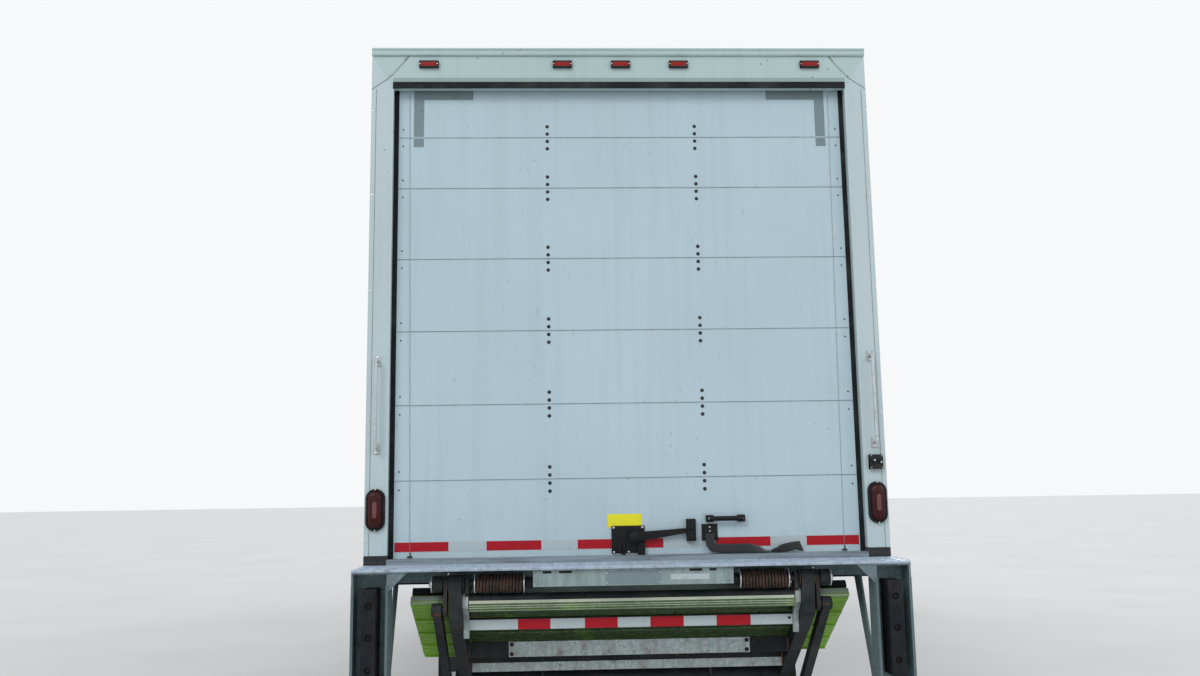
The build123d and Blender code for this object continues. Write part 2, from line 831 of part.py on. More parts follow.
def shackles():
    low_x, high_x = arm_high_x + 8, arm_high_x + 24
    end_y, end_z = tip_y - 10, tip_z - link_drop
    plate = along_x(bar_outline((tip_y, tip_z), (end_y, end_z), 32), low_x, high_x)
    plate += rod_x(tip_y, tip_z, 34, low_x, high_x) + rod_x(end_y, end_z, 32, low_x, high_x)
    plate -= rod_x(tip_y, tip_z, shaft_radius + running_gap, low_x - 1, high_x + 1)
    plate += rod_x(end_y, end_z, shaft_radius, low_x, link_high_x)
    return plate, twin(plate)


pump_box_length = 460


def pump_box():
    """The pump's box, midway between the lift cylinders' hangers and the mudflap bar."""
    flap_bar_rear_y = rear_axle_y - flap_bar_behind - flap_bar_size
    low_y = (base_y + 90 + flap_bar_rear_y - pump_box_length) / 2
    return block((rail_outer_x + seat_gap, rail_outer_x + 430), (low_y, low_y + pump_box_length),
                 (rail_under_z - 130, rail_top_z - 40))


# Running gear
def leaf_pack(half_span, rise, seat_z, axle_y, leaves, leaf_thickness):
    """A stack of leaves seated on the axle, with rolled eyes and hangers under the rail."""
    low_x, high_x = rail_mid_x - spring_width / 2, rail_mid_x + spring_width / 2
    pack = None
    for index in range(leaves):
        reach = half_span * (1 - 0.2 * (leaves - 1 - index))
        base_z = seat_z + index * leaf_thickness
        lift = rise * (reach / half_span) ** 2
        low = ThreePointArc((low_x, axle_y - reach, base_z + lift), (low_x, axle_y, base_z),
                            (low_x, axle_y + reach, base_z + lift))
        high = ThreePointArc((low_x, axle_y - reach, base_z + lift + leaf_thickness),
                             (low_x, axle_y, base_z + leaf_thickness),
                             (low_x, axle_y + reach, base_z + lift + leaf_thickness))
        ends = [Line(low @ 0, high @ 0), Line(low @ 1, high @ 1)]
        leaf = extrude(Face(Wire([low.edge(), high.edge(), ends[0].edge(), ends[1].edge()])),
                       amount=high_x - low_x, dir=(1, 0, 0))
        pack = leaf if pack is None else pack + leaf
    eye_z = seat_z + leaves * leaf_thickness + rise - 4
    for y in (axle_y - half_span, axle_y + half_span):
        pack += rod_x(y, eye_z, 30, low_x, high_x)
        pack += along_x([(y - 22, eye_z), (y + 22, eye_z), (y + 45, rail_under_z), (y - 45, rail_under_z)],
                        low_x, high_x)
    return pack


front_beam_drop = 95
front_beam_height = 96
front_spring_seat_z = axle_z - front_beam_drop + front_beam_height / 2 + 40
rear_tube_radius = 78
rear_spring_seat_z = axle_z + rear_tube_radius + 22


def leaf_springs():
    front = leaf_pack(620, 70, front_spring_seat_z, front_axle_y, 4, 15)
    rear = leaf_pack(700, 42, rear_spring_seat_z, rear_axle_y, 4, 18)
    return front, twin(front), rear, twin(rear)


kingpin_eye_low_z = axle_z - 55
kingpin_eye_high_z = axle_z + 55
kingpin_radius = 24


def front_axle():
    """A dropped I-beam with spring pads, kingpin eyes and the kingpins."""
    low_z = axle_z - front_beam_drop - front_beam_height / 2
    high_z = low_z + front_beam_height
    right_side = [
        (kingpin_x - 190, low_z), (kingpin_x - 60, kingpin_eye_low_z), (kingpin_x, kingpin_eye_low_z),
        (kingpin_x, kingpin_eye_high_z), (kingpin_x - 80, kingpin_eye_high_z), (kingpin_x - 190, high_z),
    ]
    beam = along_y(symmetric(right_side), front_axle_y - 48, front_axle_y + 48)
    for low_y, high_y in ((front_axle_y - 49, front_axle_y - 14), (front_axle_y + 14, front_axle_y + 49)):
        beam -= block((-kingpin_x + 230, kingpin_x - 230), (low_y, high_y), (low_z + 18, high_z - 18))
    pad_z = front_spring_seat_z
    side = rod_z(kingpin_x, front_axle_y, 46, kingpin_eye_low_z, kingpin_eye_high_z)
    side += rod_z(kingpin_x, front_axle_y, kingpin_radius, kingpin_eye_low_z - 50, kingpin_eye_high_z + 50)
    side += block((rail_mid_x - 60, rail_mid_x + 60), (front_axle_y - 70, front_axle_y + 70), (high_z - 1, pad_z))
    return beam + side + twin(side)


knuckle_plate_x = kingpin_x + 66
knuckle_plate_thickness = 30
knuckle_ear = 36
spindle_end_x = front_track / 2 + 146
steering_arm_top_z = kingpin_eye_low_z - seat_gap
tie_rod_z = steering_arm_top_z - knuckle_ear - 22


def knuckle():
    """Two ears on the kingpin, the spindle for the wheel and the rearward steering arm."""
    plate_high_x = knuckle_plate_x + knuckle_plate_thickness
    low_z, high_z = kingpin_eye_low_z - seat_gap - knuckle_ear, kingpin_eye_high_z + seat_gap + knuckle_ear
    body = block((knuckle_plate_x, plate_high_x), (front_axle_y - 62, front_axle_y + 62), (low_z, high_z))
    ear_spans = ((low_z, low_z + knuckle_ear), (high_z - knuckle_ear, high_z))
    for ear_low, ear_high in ear_spans:
        body += rod_z(kingpin_x, front_axle_y, 48, ear_low, ear_high)
        body += block((kingpin_x, knuckle_plate_x + 1), (front_axle_y - 48, front_axle_y + 48), (ear_low, ear_high))
    body += along_z(
        [
            (kingpin_x - 20, front_axle_y), (kingpin_x + 20, front_axle_y),
            (kingpin_x + 15, front_axle_y - steering_arm_length), (kingpin_x - 15, front_axle_y - steering_arm_length),
        ],
        low_z, low_z + knuckle_ear,
    )
    body += rod_z(kingpin_x, front_axle_y - steering_arm_length, 24, low_z, low_z + knuckle_ear)
    body += rod_z(kingpin_x, front_axle_y - steering_arm_length, 12, tie_rod_z - 20, low_z + 1)
    body += rod_x(front_axle_y, axle_z, hub_bore, plate_high_x - 1, spindle_end_x)
    body -= rod_z(kingpin_x, front_axle_y, kingpin_radius + running_gap, low_z - 1, high_z + 1)
    return body


def tie_rod():
    rear_y = front_axle_y - steering_arm_length
    rod = rod_x(rear_y, tie_rod_z, 17, -kingpin_x + 20, kingpin_x - 20)
    for x in (-kingpin_x, kingpin_x):
        rod += rod_z(x, rear_y, 27, tie_rod_z - 20, tie_rod_z + 20)
        rod -= rod_z(x, rear_y, 12 + running_gap, tie_rod_z - 21, tie_rod_z + 21)
    return rod


def rear_axle():
    """Axle tube, differential bowl facing forward and the spring pads."""
    spindle_x = twin_track / 2 + 60
    housing = rod_x(rear_axle_y, axle_z, rear_tube_radius, -twin_track / 2 + 290, twin_track / 2 - 290)
    housing += rod_x(rear_axle_y, axle_z, rear_hub_bore, -spindle_x, spindle_x)
    bowl = Face(Wire.make_polygon(
        [(0, 0, -130), (150, 0, -130), (205, 0, -60), (205, 0, 60), (140, 0, 170), (90, 0, 250), (70, 0, 330), (0, 0, 330)],
        close=True))
    housing += Pos(0, rear_axle_y, axle_z) * Rot(-90, 0, 0) * revolve(bowl, Axis.Z, 360)
    pad = block((rail_mid_x - 60, rail_mid_x + 60), (rear_axle_y - 70, rear_axle_y + 70), (axle_z, rear_spring_seat_z))
    return housing + pad + twin(pad)


tyre_bead_half = 104
tyre_sides = 40
tyre_profile = [
    (tyre_bead_half, bead_radius), (tyre_bead_half, bead_radius + 17), (tyre_width / 2, tyre_radius - 135),
    (tyre_width / 2, tyre_radius - 60), (tyre_width / 2 - 26, tyre_radius - 6),
]


def many_sided_ring(profile, sides, x, y, z):
    """A ring of flat faces about a line along X, with one flat side down, from a closed outline of
    (distance along the axle, radius) corners. The flats lie at the radius, and the corners beyond it."""
    turn = 2 * pi / sides
    rows = []
    for index in range(sides):
        angle = -pi / 2 + turn * (index + 0.5)
        reach = 1 / cos(turn / 2)
        rows.append([(x + along, y + radius * reach * cos(angle), z + radius * reach * sin(angle))
                     for along, radius in profile])
    faces = []
    for index in range(sides):
        near, far = rows[index - 1], rows[index]
        for start in range(len(profile)):
            corners = [near[start - 1], near[start], far[start], far[start - 1]]
            faces.append(Face(Wire.make_polygon(corners, close=True)))
    return Solid(Shell(faces))


def tyre(x, y):
    """A road tyre with a crowned tread and dished side walls, bored for its rim."""
    mirrored = [(-along, radius) for along, radius in reversed(tyre_profile)]
    return many_sided_ring(tyre_profile + [(0, tyre_radius)] + mirrored, tyre_sides, x, y, axle_z)


flange_face = tyre_bead_half + seat_gap
rim_barrel = [
    (122, bead_radius + 16), (flange_face, bead_radius + 16), (flange_face, bead_radius - seat_gap),
    (-flange_face, bead_radius - seat_gap), (-flange_face, bead_radius + 16), (-122, bead_radius + 16),
    (-122, bead_radius - 14), (122, bead_radius - 14),
]
disc_root_radius = bead_radius - 13
disc_thickness = 12
front_hub = [(-118, 205), (-118, 190), (-6, 190), (-6, hub_bore + running_gap), (150, hub_bore + running_gap),
             (150, 112), (60, 112), (60, 150), (0, 150), (0, 205)]


def disc_section(root_along, root_radius, face_along, face_radius, bore_radius):
    """A wheel disc that runs from the barrel to a flat bolting face."""
    step = disc_thickness if face_along > root_along else -disc_thickness
    return [(root_along, root_radius), (root_along + step, root_radius), (face_along + step, face_radius),
            (face_along + step, bore_radius), (face_along, bore_radius), (face_along, face_radius)]


def front_rim(x, y, direction):
    """Barrel, convex disc with hand holes, and the hub with its drum, on one spindle."""
    wheel = ring_x(rim_barrel, x, y, axle_z, direction)
    wheel += ring_x(disc_section(20, disc_root_radius, 106, 190, 105), x, y, axle_z, direction)
    wheel += ring_x(front_hub, x, y, axle_z, direction)
    wheel += ring_x([(150, 0), (150, 112), (178, 96), (186, 0)], x, y, axle_z, direction)
    return cut_hand_holes(wheel, x, y, direction, 30, 120)


def cut_hand_holes(wheel, x, y, direction, low, high):
    for index in range(5):
        angle = radians(36 + 72 * index)
        hole_y, hole_z = y + 222 * cos(angle), axle_z + 222 * sin(angle)
        start_x = min(x + direction * low, x + direction * high)
        place = Plane(origin=(start_x, hole_y, hole_z), x_dir=(0, 1, 0), z_dir=(1, 0, 0))
        wheel -= extrude(place * RegularPolygon(24, 8), amount=high - low, dir=(1, 0, 0))
    return wheel


def rear_rims(x, y, direction):
    """The twin rims back to back on one hub with its drum."""
    half = twin_spacing / 2
    wheel = ring_x([(along + half, radius) for along, radius in rim_barrel], x, y, axle_z, direction)
    wheel += ring_x([(along - half, radius) for along, radius in rim_barrel], x, y, axle_z, direction)
    bore = rear_hub_bore + running_gap
    outer_disc = disc_section(half - 20, disc_root_radius, 0, 190, bore)
    outer_disc = [(along + disc_thickness, radius) for along, radius in outer_disc]
    wheel += ring_x(outer_disc, x, y, axle_z, direction)
    inner_disc = disc_section(20 - half, disc_root_radius, 0, 190, bore)
    inner_disc = [(along - disc_thickness, radius) for along, radius in inner_disc]
    wheel += ring_x(inner_disc, x, y, axle_z, direction)
    wheel += ring_x([(-2, bore), (-2, 150), (50, 140), (60, 105), (130, 100), (136, bore)], x, y, axle_z, direction)
    wheel += ring_x([(-20, 205), (-20, bore), (-40, bore), (-40, 190), (-240, 190), (-240, 205)], x, y, axle_z, direction)
    return wheel


# Drive line, tanks and exhaust
gearbox_tail_y = front_axle_y - 1090
shaft_high_z = rail_under_z - 30
yoke_radius = 62


def engine():
    """One plain block for the engine and gearbox, and the radiator behind the grille."""
    block_side = [
        (gearbox_tail_y, shaft_high_z - 90), (front_axle_y - 230, shaft_high_z - 130),
        (front_axle_y + 560, rail_under_z + 20), (front_axle_y + 560, rail_top_z + 330),
        (front_axle_y - 200, rail_top_z + 380), (front_axle_y - 215, cab_floor_z - 60),
        (gearbox_tail_y, rail_under_z + 140),
    ]
    half_width = rail_inner_x - 60
    mass = along_x(block_side, -half_width, half_width)
    mount_reach = rail_outer_x - rail_thickness - seat_gap
    mass += block((-mount_reach, mount_reach), (front_axle_y + 120, front_axle_y + 220),
                  (rail_under_z + 40, rail_under_z + 110))
    radiator = block((8 - rail_inner_x, rail_inner_x - 8), (rail_front_y - tie_depth + 5, rail_front_y - 10),
                     (rail_top_z - tie_inset - rail_thickness, rail_top_z + 440))
    return mass, radiator


def driveshaft():
    start = Vector(0, gearbox_tail_y - 2, shaft_high_z - 30)
    joint = Vector(0, (gearbox_tail_y + rear_axle_y) / 2 + 200, shaft_high_z - 60)
    end = Vector(0, rear_axle_y + 330 + yoke_radius * (joint.Z - axle_z) / (joint.Y - rear_axle_y - 330) + seat_gap, axle_z)
    shaft = None
    for low, high in ((joint, start), (end, joint)):
        run = high - low
        tube = Plane(origin=low + run * 0.5, z_dir=run) * Cylinder(50, run.length - 120)
        for place in (low, high):
            inward = run.normalized() * (30 if place is low else -30)
            tube += Plane(origin=place + inward, z_dir=run) * Cylinder(yoke_radius, 60)
        shaft = tube if shaft is None else shaft + tube
    hanger_half = rail_inner_x + 8
    shaft += block((-hanger_half, hanger_half), (joint.Y - 20, joint.Y + 20), (rail_under_z - 30, rail_under_z))
    shaft += block((-70, 70), (joint.Y - 20, joint.Y + 20), (joint.Z, rail_under_z))
    return shaft


tank_length = 900
tank_front_y = front_axle_y - 690
step_reach = 110


def fuel_tank():
    """A cylindrical tank on the left with its straps, rail brackets and two treads."""
    middle_x = -(rail_outer_x + 50 + tank_radius)
    middle_z = rail_under_z - 20
    low_y = tank_front_y - tank_length
    tank = rod_y(middle_x, middle_z, tank_radius, low_y, tank_front_y)
    for y in (low_y + 130, tank_front_y - 180):
        tank += rod_y(middle_x, middle_z, tank_radius + 6, y, y + 50)
        tank += block((middle_x, -rail_outer_x - seat_gap), (y, y + 50), (middle_z - 30, middle_z + 190))
    for z in (middle_z - 170, middle_z + 150):
        tank += block((middle_x - tank_radius - step_reach, middle_x - 120), (low_y + 200, tank_front_y - 220), (z, z + 28))
    return tank


def battery_box():
    low_x, high_x = rail_outer_x + seat_gap, rail_outer_x + 560
    low_z, high_z = rail_under_z - 210, rail_top_z - 90
    box = along_y([(low_x, low_z + 60), (low_x, high_z), (high_x, high_z), (high_x, low_z)],
                  tank_front_y - 620, tank_front_y, 24)
    for z in (low_z + 20, high_z - 60):
        box += block((high_x - 60, high_x + step_reach), (tank_front_y - 560, tank_front_y - 60), (z, z + 28))
    return box


def exhaust():
    middle_x = rail_outer_x + 210
    middle_z = rail_under_z - 20
    low_y = cab_back_y - 1250
    pipe = rod_y(middle_x, middle_z, 130, low_y, low_y + 900)
    pipe += rod_y(middle_x, middle_z, 50, low_y - 240, low_y + 1160)
    pipe += rod_x(low_y - 240, middle_z, 50, middle_x, half_body - 60)
    pipe += Pos(middle_x, low_y - 240, middle_z) * Sphere(50)
    for y in (low_y + 120, low_y + 720):
        pipe += block((rail_outer_x + seat_gap, middle_x), (y, y + 40), (middle_z - 20, middle_z + 60))
    return pipe


def front_bumper():
    back_y = nose_y - bumper_thickness
    plan = [
        (bumper_half_width - 40, back_y - 190), (bumper_half_width, back_y - 190),
        (bumper_half_width - 20, nose_y - 90), (bumper_half_width - 330, nose_y),
    ]
    inner = [(bumper_half_width - 400, back_y), (bumper_half_width - 75, back_y - 60)]
    points = plan + [(-x, y) for x, y in reversed(plan)] + [(-x, y) for x, y in reversed(inner)] + inner
    return along_z(points, bumper_low_z, bumper_high_z)


# Cab: three outlines, each drawn in by the same inset, meet in one rounded shell. The side outline
# sets its length and height, the front outline its width, and the plan reaches a little past both.
outline_lap = 4
prism_overrun = 40


def cab_form(inset):
    back_y, fire_y = cab_back_y, cab_front_y
    side = [
        (back_y, cab_floor_z), (back_y, cab_roof_z - 60), (back_y + 110, cab_roof_z), (back_y + 830, cab_roof_z - 10),
        (back_y + 950, cab_roof_z - 70), (fire_y, belt_z - 20), (fire_y, cab_floor_z),
    ]
    front = symmetric([
        (cab_half_width - cab_sill_tuck, cab_floor_z - outline_lap), (cab_half_width, cab_floor_z + 260),
        (cab_half_width, belt_z), (cab_half_width - 110, cab_roof_z - 60), (cab_half_width - 240, cab_roof_z + outline_lap),
    ])
    plan = symmetric([
        (cab_half_width + outline_lap, back_y - outline_lap), (cab_half_width + outline_lap, fire_y - 480),
        (cab_half_width - 90, fire_y + outline_lap),
    ])
    form = inset_prism(side, inset, Plane.YZ, -cab_half_width, cab_half_width, 40)
    form &= inset_prism(front, inset, Plane.XZ, -fire_y, -back_y, 40)
    form &= inset_prism(plan, inset, Plane.XY, cab_floor_z, cab_roof_z, 80)
    return form


def inset_prism(points, inset, plane, low, high, radius):
    """An outline on a plane, rounded, drawn in by inset and pushed from low to high and past both."""
    face = Face(Wire(FilletPolyline(*points, radius=radius, close=True).edges()))
    if inset:
        face = offset(face, amount=-inset).face()
    start = plane.offset(low - prism_overrun)
    return extrude(start * face, amount=high - low + 2 * prism_overrun, dir=start.z_dir)


cab_front_y = cab_back_y + 1480
door_rear_y = cab_back_y + door_rear_inset
door_front_y = cab_back_y + door_front_inset
door_low_z = cab_floor_z + 14
door_high_z = cab_roof_z - 130
pillar_top_y = cab_back_y + 850
windshield_low_z = belt_z + 40
windshield_high_z = cab_roof_z - 130
windshield_low_half = cab_half_width - 150
windshield_high_half = cab_half_width - 230
rear_glass_half = 420
rear_glass_low_z = belt_z + 120
rear_glass_high_z = cab_roof_z - 260


def door_outline(inset):
    return [
        (door_rear_y + inset, door_low_z + inset), (door_front_y - inset, door_low_z + inset),
        (door_front_y - inset, belt_z), (pillar_top_y - inset, door_high_z - inset),
        (door_rear_y + inset, door_high_z - inset),
    ]


def side_window_outline(inset):
    frame = 75 + inset
    return [
        (door_rear_y + frame, belt_z + 30 + inset), (door_front_y - frame - 20, belt_z + 30 + inset),
        (pillar_top_y - frame + 5, door_high_z - frame), (door_rear_y + frame, door_high_z - frame),
    ]


def windshield_outline(inset):
    return symmetric([
        (windshield_low_half - inset, windshield_low_z + inset),
        (windshield_high_half - inset, windshield_high_z - inset),
    ])


def rear_window_outline(inset):
    return symmetric([
        (rear_glass_half - inset, rear_glass_low_z + inset), (rear_glass_half - inset, rear_glass_high_z - inset),
    ])


def floor_strip(high_x):
    """The part of the cab's floor beside a door, which stays in the shell."""
    return block((0, high_x), (door_rear_y - 50, door_front_y + 50), (cab_floor_z - 1, cab_floor_z + cab_wall + 1))


hinge_x = cab_half_width + 6
hinge_y = door_front_y - 3
hinge_radius = 10
hinge_knuckle_height = 40
hinge_places = (cab_floor_z + 330, belt_z - 130)


def pillar_knuckle(low_z):
    """The lower half of an outside door hinge, on an arm from the front pillar."""
    high_z = low_z + hinge_knuckle_height
    arm = block((hinge_x - 85, hinge_x), (hinge_y + 6, hinge_y + 20), (low_z, high_z))
    return arm + rod_z(hinge_x, hinge_y, hinge_radius, low_z, high_z)


def leaf_knuckle(low_z):
    """The upper half of the hinge, on a strap from the door's leading edge."""
    start_z = low_z + hinge_knuckle_height + running_gap
    end_z = start_z + hinge_knuckle_height
    strap = along_z(
        [
            (hinge_x - 70, hinge_y - 62), (hinge_x, hinge_y - hinge_radius), (hinge_x, hinge_y + hinge_radius - 1),
            (hinge_x - 70, hinge_y - 30),
        ],
        start_z, end_z,
    )
    return strap + rod_z(hinge_x, hinge_y, hinge_radius, start_z, end_z)


def cab():
    """The shell with its doors, and the glass that fills each window, from the same form."""
    shell = cab_form(0) - cab_form(cab_wall)
    glass_layer = cab_form(glass_inset) - cab_form(glass_inset + glass_thickness)
    middle_y = (cab_back_y + cab_front_y) / 2
    windshield = along_y(windshield_outline(0), middle_y, cab_front_y + 10)
    rear_window = along_y(rear_window_outline(0), cab_back_y - 10, middle_y)
    glass = [
        glass_layer & along_y(windshield_outline(seat_gap), middle_y, cab_front_y + 10),
        glass_layer & along_y(rear_window_outline(seat_gap), cab_back_y - 10, middle_y),
    ]
    opening = along_x(door_outline(0), 300, cab_half_width + 10)
    opening -= floor_strip(cab_half_width - 108 - door_gap)
    leaf = shell & along_x(door_outline(door_gap), 300, cab_half_width + 10)
    leaf -= floor_strip(cab_half_width - 108)
    for low_z in hinge_places:
        leaf += leaf_knuckle(low_z)
    leaf -= along_x(side_window_outline(0), 300, cab_half_width + 10)
    pane = glass_layer & along_x(side_window_outline(seat_gap), 300, cab_half_width + 10)
    shell = shell - windshield - rear_window - opening - twin(opening)
    mount = block((rail_inner_x, rail_outer_x), (cab_back_y + 120, cab_back_y + 220), (rail_top_z, cab_floor_z + 1))
    mount += block((rail_inner_x, rail_outer_x), (cab_front_y - 160, cab_front_y - 60), (rail_top_z, cab_floor_z + 1))
    for low_z in hinge_places:
        mount += pillar_knuckle(low_z)
    shell = shell + mount + twin(mount)
    return shell, glass, leaf, pane


mirror_low_z = belt_z + 30
mirror_high_z = belt_z + 470
mirror_inner_x = 1240
mirror_outer_x = 1440
mirror_y = door_front_y - 265


def mirror_head():
    """The mirror's shell and its two arms, reaching out from the door frame."""
    head = block((mirror_inner_x, mirror_outer_x), (mirror_y, mirror_y + 70), (mirror_low_z, mirror_high_z))
    head = fillet(head.edges().filter_by(Axis.Z), 22)
    for z in (mirror_low_z + 60, mirror_low_z + 200):
        lean = max(0, z - belt_z) * 110 / (cab_roof_z - 60 - belt_z)
        head += rod_x(mirror_y + 35, z, 11, cab_half_width - lean - 8, mirror_inner_x + 5)
    return head


def dashboard():
    """The dash from wall to wall, with the steering wheel on its column."""
    rear_y = cab_front_y - cab_wall - 330
    front_y = cab_front_y
    half = cab_half_width
    panel = along_x(
        [
            (front_y, belt_z - 560), (rear_y + 90, belt_z - 560), (rear_y, belt_z - 240), (rear_y + 30, belt_z - 90),
            (rear_y + 130, belt_z - 40), (front_y, belt_z - 60),
        ],
        -half, half,
    )
    core = panel & cab_form(cab_wall + seat_gap) & block((-half, half), (door_front_y + 12, front_y), (cab_floor_z, belt_z))
    return (panel & cab_form(cab_wall + 12)) + core + steering_wheel()


column_radius = 30
column_length = 170
column_middle = -96
wheel_y = cab_front_y - 500
wheel_z = belt_z - 110
wheel_x = -430
wheel_tilt = 52


def steering_wheel():
    """Rim, three spokes, hub and column at the driver's rake."""
    rim = Cylinder(220, 26) - Cylinder(192, 27)
    rim += Cylinder(46, 34)
    for angle in (90, 210, 330):
        rim += Rot(0, 0, angle) * Pos(115, 0, 0) * Box(170, 34, 12)
    rim += Pos(0, 0, column_middle) * Cylinder(column_radius, column_length)
    return Pos(wheel_x, wheel_y, wheel_z) * Rot(wheel_tilt, 0, 0) * rim


seat_width = 500
seat_back_y = cab_back_y + cab_wall + 120
seat_floor_z = cab_floor_z + cab_wall


def seats():
    """A driver's seat and a two-place passenger bench, each on its plinth."""
    solids = []
    for middle_x, width in ((wheel_x, seat_width), (400, 780)):
        low_x, high_x = middle_x - width / 2, middle_x + width / 2
        plinth = block((low_x + 40, high_x - 40), (seat_back_y + 100, seat_back_y + 420), (seat_floor_z, seat_floor_z + 310))
        side = [
            (seat_back_y + 60, seat_floor_z + 280), (seat_back_y + 560, seat_floor_z + 300),
            (seat_back_y + 570, seat_floor_z + 400), (seat_back_y + 180, seat_floor_z + 400),
            (seat_back_y + 100, seat_floor_z + 1000), (seat_back_y - 10, seat_floor_z + 1000),
            (seat_back_y + 20, seat_floor_z + 400),
        ]
        solids.append(plinth + along_x(side, low_x, high_x, 30))
    return solids


hood_rear_y = cab_front_y + 8
hood_rear_top_z = belt_z - 70
hood_front_y = nose_y - 95
hood_low_z = 770
fender_rear_y = door_front_y + 30
fender_tail_y = front_axle_y - arch_radius - 30
fender_tail_top_z = door_low_z - 18
fender_top_z = 1330


hood_half = cab_half_width - 90
hood_nose_half = 600
hood_crown_half = hood_half - 140
hood_shoulder_drop = 190


def hood_form(inset):
    """The bonnet between two fenders, each from outlines drawn in by the same inset."""
    side = [
        (hood_rear_y, hood_low_z), (hood_rear_y, hood_rear_top_z), (hood_front_y - 110, hood_rear_top_z - 290),
        (hood_front_y - 20, hood_rear_top_z - 390), (hood_front_y, hood_low_z),
    ]
    plan = symmetric([
        (hood_half + outline_lap, hood_rear_y - outline_lap), (hood_nose_half + 40, hood_front_y - 140),
        (hood_nose_half, hood_front_y + outline_lap),
    ])
    front = symmetric([
        (hood_half, hood_low_z - outline_lap), (hood_half, hood_rear_top_z - hood_shoulder_drop),
        (hood_crown_half, hood_rear_top_z + outline_lap),
    ])
    bonnet = inset_prism(side, inset, Plane.YZ, -hood_half - 20, hood_half + 20, 50)
    bonnet &= inset_prism(plan, inset, Plane.XY, hood_low_z, hood_rear_top_z, 50)
    bonnet &= inset_prism(front, inset, Plane.XZ, -hood_front_y, -hood_rear_y, 50)
    fender_side = [
        (hood_rear_y, hood_low_z), (hood_rear_y, fender_top_z), (hood_front_y - 260, fender_top_z - 20),
        (hood_front_y - 40, fender_top_z - 90), (hood_front_y - 10, hood_low_z),
    ]
    fender_plan = symmetric([
        (fender_half_width + outline_lap, hood_rear_y - outline_lap),
        (fender_half_width + outline_lap, hood_front_y - 330),
        (fender_half_width - 130, hood_front_y - 60), (fender_half_width - 330, hood_front_y - 10 + outline_lap),
    ])
    fender_front = symmetric([
        (fender_half_width, hood_low_z - outline_lap), (fender_half_width, fender_top_z - 110),
        (fender_half_width - 150, fender_top_z + outline_lap),
    ])
    fender = inset_prism(fender_side, inset, Plane.YZ, -fender_half_width, fender_half_width, 40)
    fender &= inset_prism(fender_plan, inset, Plane.XY, hood_low_z, fender_top_z, 40)
    fender &= inset_prism(fender_front, inset, Plane.XZ, -hood_front_y, -hood_rear_y, 40)
    return bonnet + fender


lamp_low_x = 690
lamp_high_x = 1030
lamp_low_z = 1010
lamp_high_z = 1200
grille_half = 500
grille_low_z = 860
grille_high_z = 1420


def lamp_outline(inset):
    return [
        (lamp_low_x + inset, lamp_low_z + inset), (lamp_high_x - inset, lamp_low_z + 20 + inset),
        (lamp_high_x - inset, lamp_high_z - inset), (lamp_low_x + inset, lamp_high_z - 20 - inset),
    ]


def hood():
    """The tilting hood with its arches, lamp and grille openings and hinge lugs, and its lamps."""
    outer = hood_form(0)
    inner = hood_form(hood_wall)
    shell = outer
    for back, down in ((0, 0), (0, 1), (1, 0), (1, 1)):
        shell -= Pos(0, -back * (hood_wall + 5), -down * (hood_wall + 5)) * inner
    tail = along_x(
        [
            (hood_rear_y + 1, hood_low_z), (hood_rear_y + 1, fender_top_z - 200),
            (fender_rear_y, fender_top_z - 200), (fender_rear_y, fender_tail_top_z),
            (fender_tail_y, fender_tail_top_z), (fender_tail_y, hood_low_z),
        ],
        fender_half_width - hood_wall, fender_half_width,
    )
    arch = rod_x(front_axle_y, axle_z, arch_radius, 500, fender_half_width + 10)
    lug_x = rail_outer_x + 30
    lug = along_x(
        [
            (hood_hinge_y - 26, hood_hinge_z - 22), (hood_hinge_y + 24, hood_hinge_z - 22),
            (hood_front_y - 4, hood_low_z + 4), (hood_front_y - 4, grille_low_z - 10), (hood_hinge_y - 26, hood_low_z + 50),
        ],
        lug_x, lug_x + 22,
    )
    lug -= rod_x(hood_hinge_y, hood_hinge_z, hood_pin_radius + running_gap, lug_x - 1, lug_x + 23)
    front_low_y = hood_front_y - 420
    shell += tail + twin(tail)
    shell -= arch + twin(arch)
    lamp_hole = along_y(lamp_outline(0), front_low_y, nose_y)
    shell -= lamp_hole + twin(lamp_hole)
    shell -= along_y(symmetric([(grille_half, grille_low_z), (grille_half, grille_high_z)]), front_low_y, nose_y)
    shell += lug + twin(lug)
    lamp_layer = outer - hood_form(hood_wall - 2)
    lamp = lamp_layer & along_y(lamp_outline(seat_gap), front_low_y, nose_y)
    return shell, lamp


grille_bars = 8
grille_depth = 30


def grille():
    """A frame with level bars that fills the opening in the hood's nose."""
    front_y = hood_front_y - 8
    half, low_z, high_z = grille_half - seat_gap, grille_low_z + seat_gap, grille_high_z - seat_gap
    frame = block((-half, half), (front_y - grille_depth, front_y), (low_z, high_z))
    frame -= block((-half + 28, half - 28), (front_y - grille_depth - 1, front_y + 1), (low_z + 28, high_z - 28))
    pitch = (high_z - low_z - 56) / (grille_bars + 1)
    for index in range(grille_bars):
        z = low_z + 28 + pitch * (index + 1)
        frame += along_x([(front_y - 24, z - 8), (front_y - 4, z - 14), (front_y - 4, z + 2), (front_y - 24, z + 8)],
                         -half + 27, half - 27)
    return frame


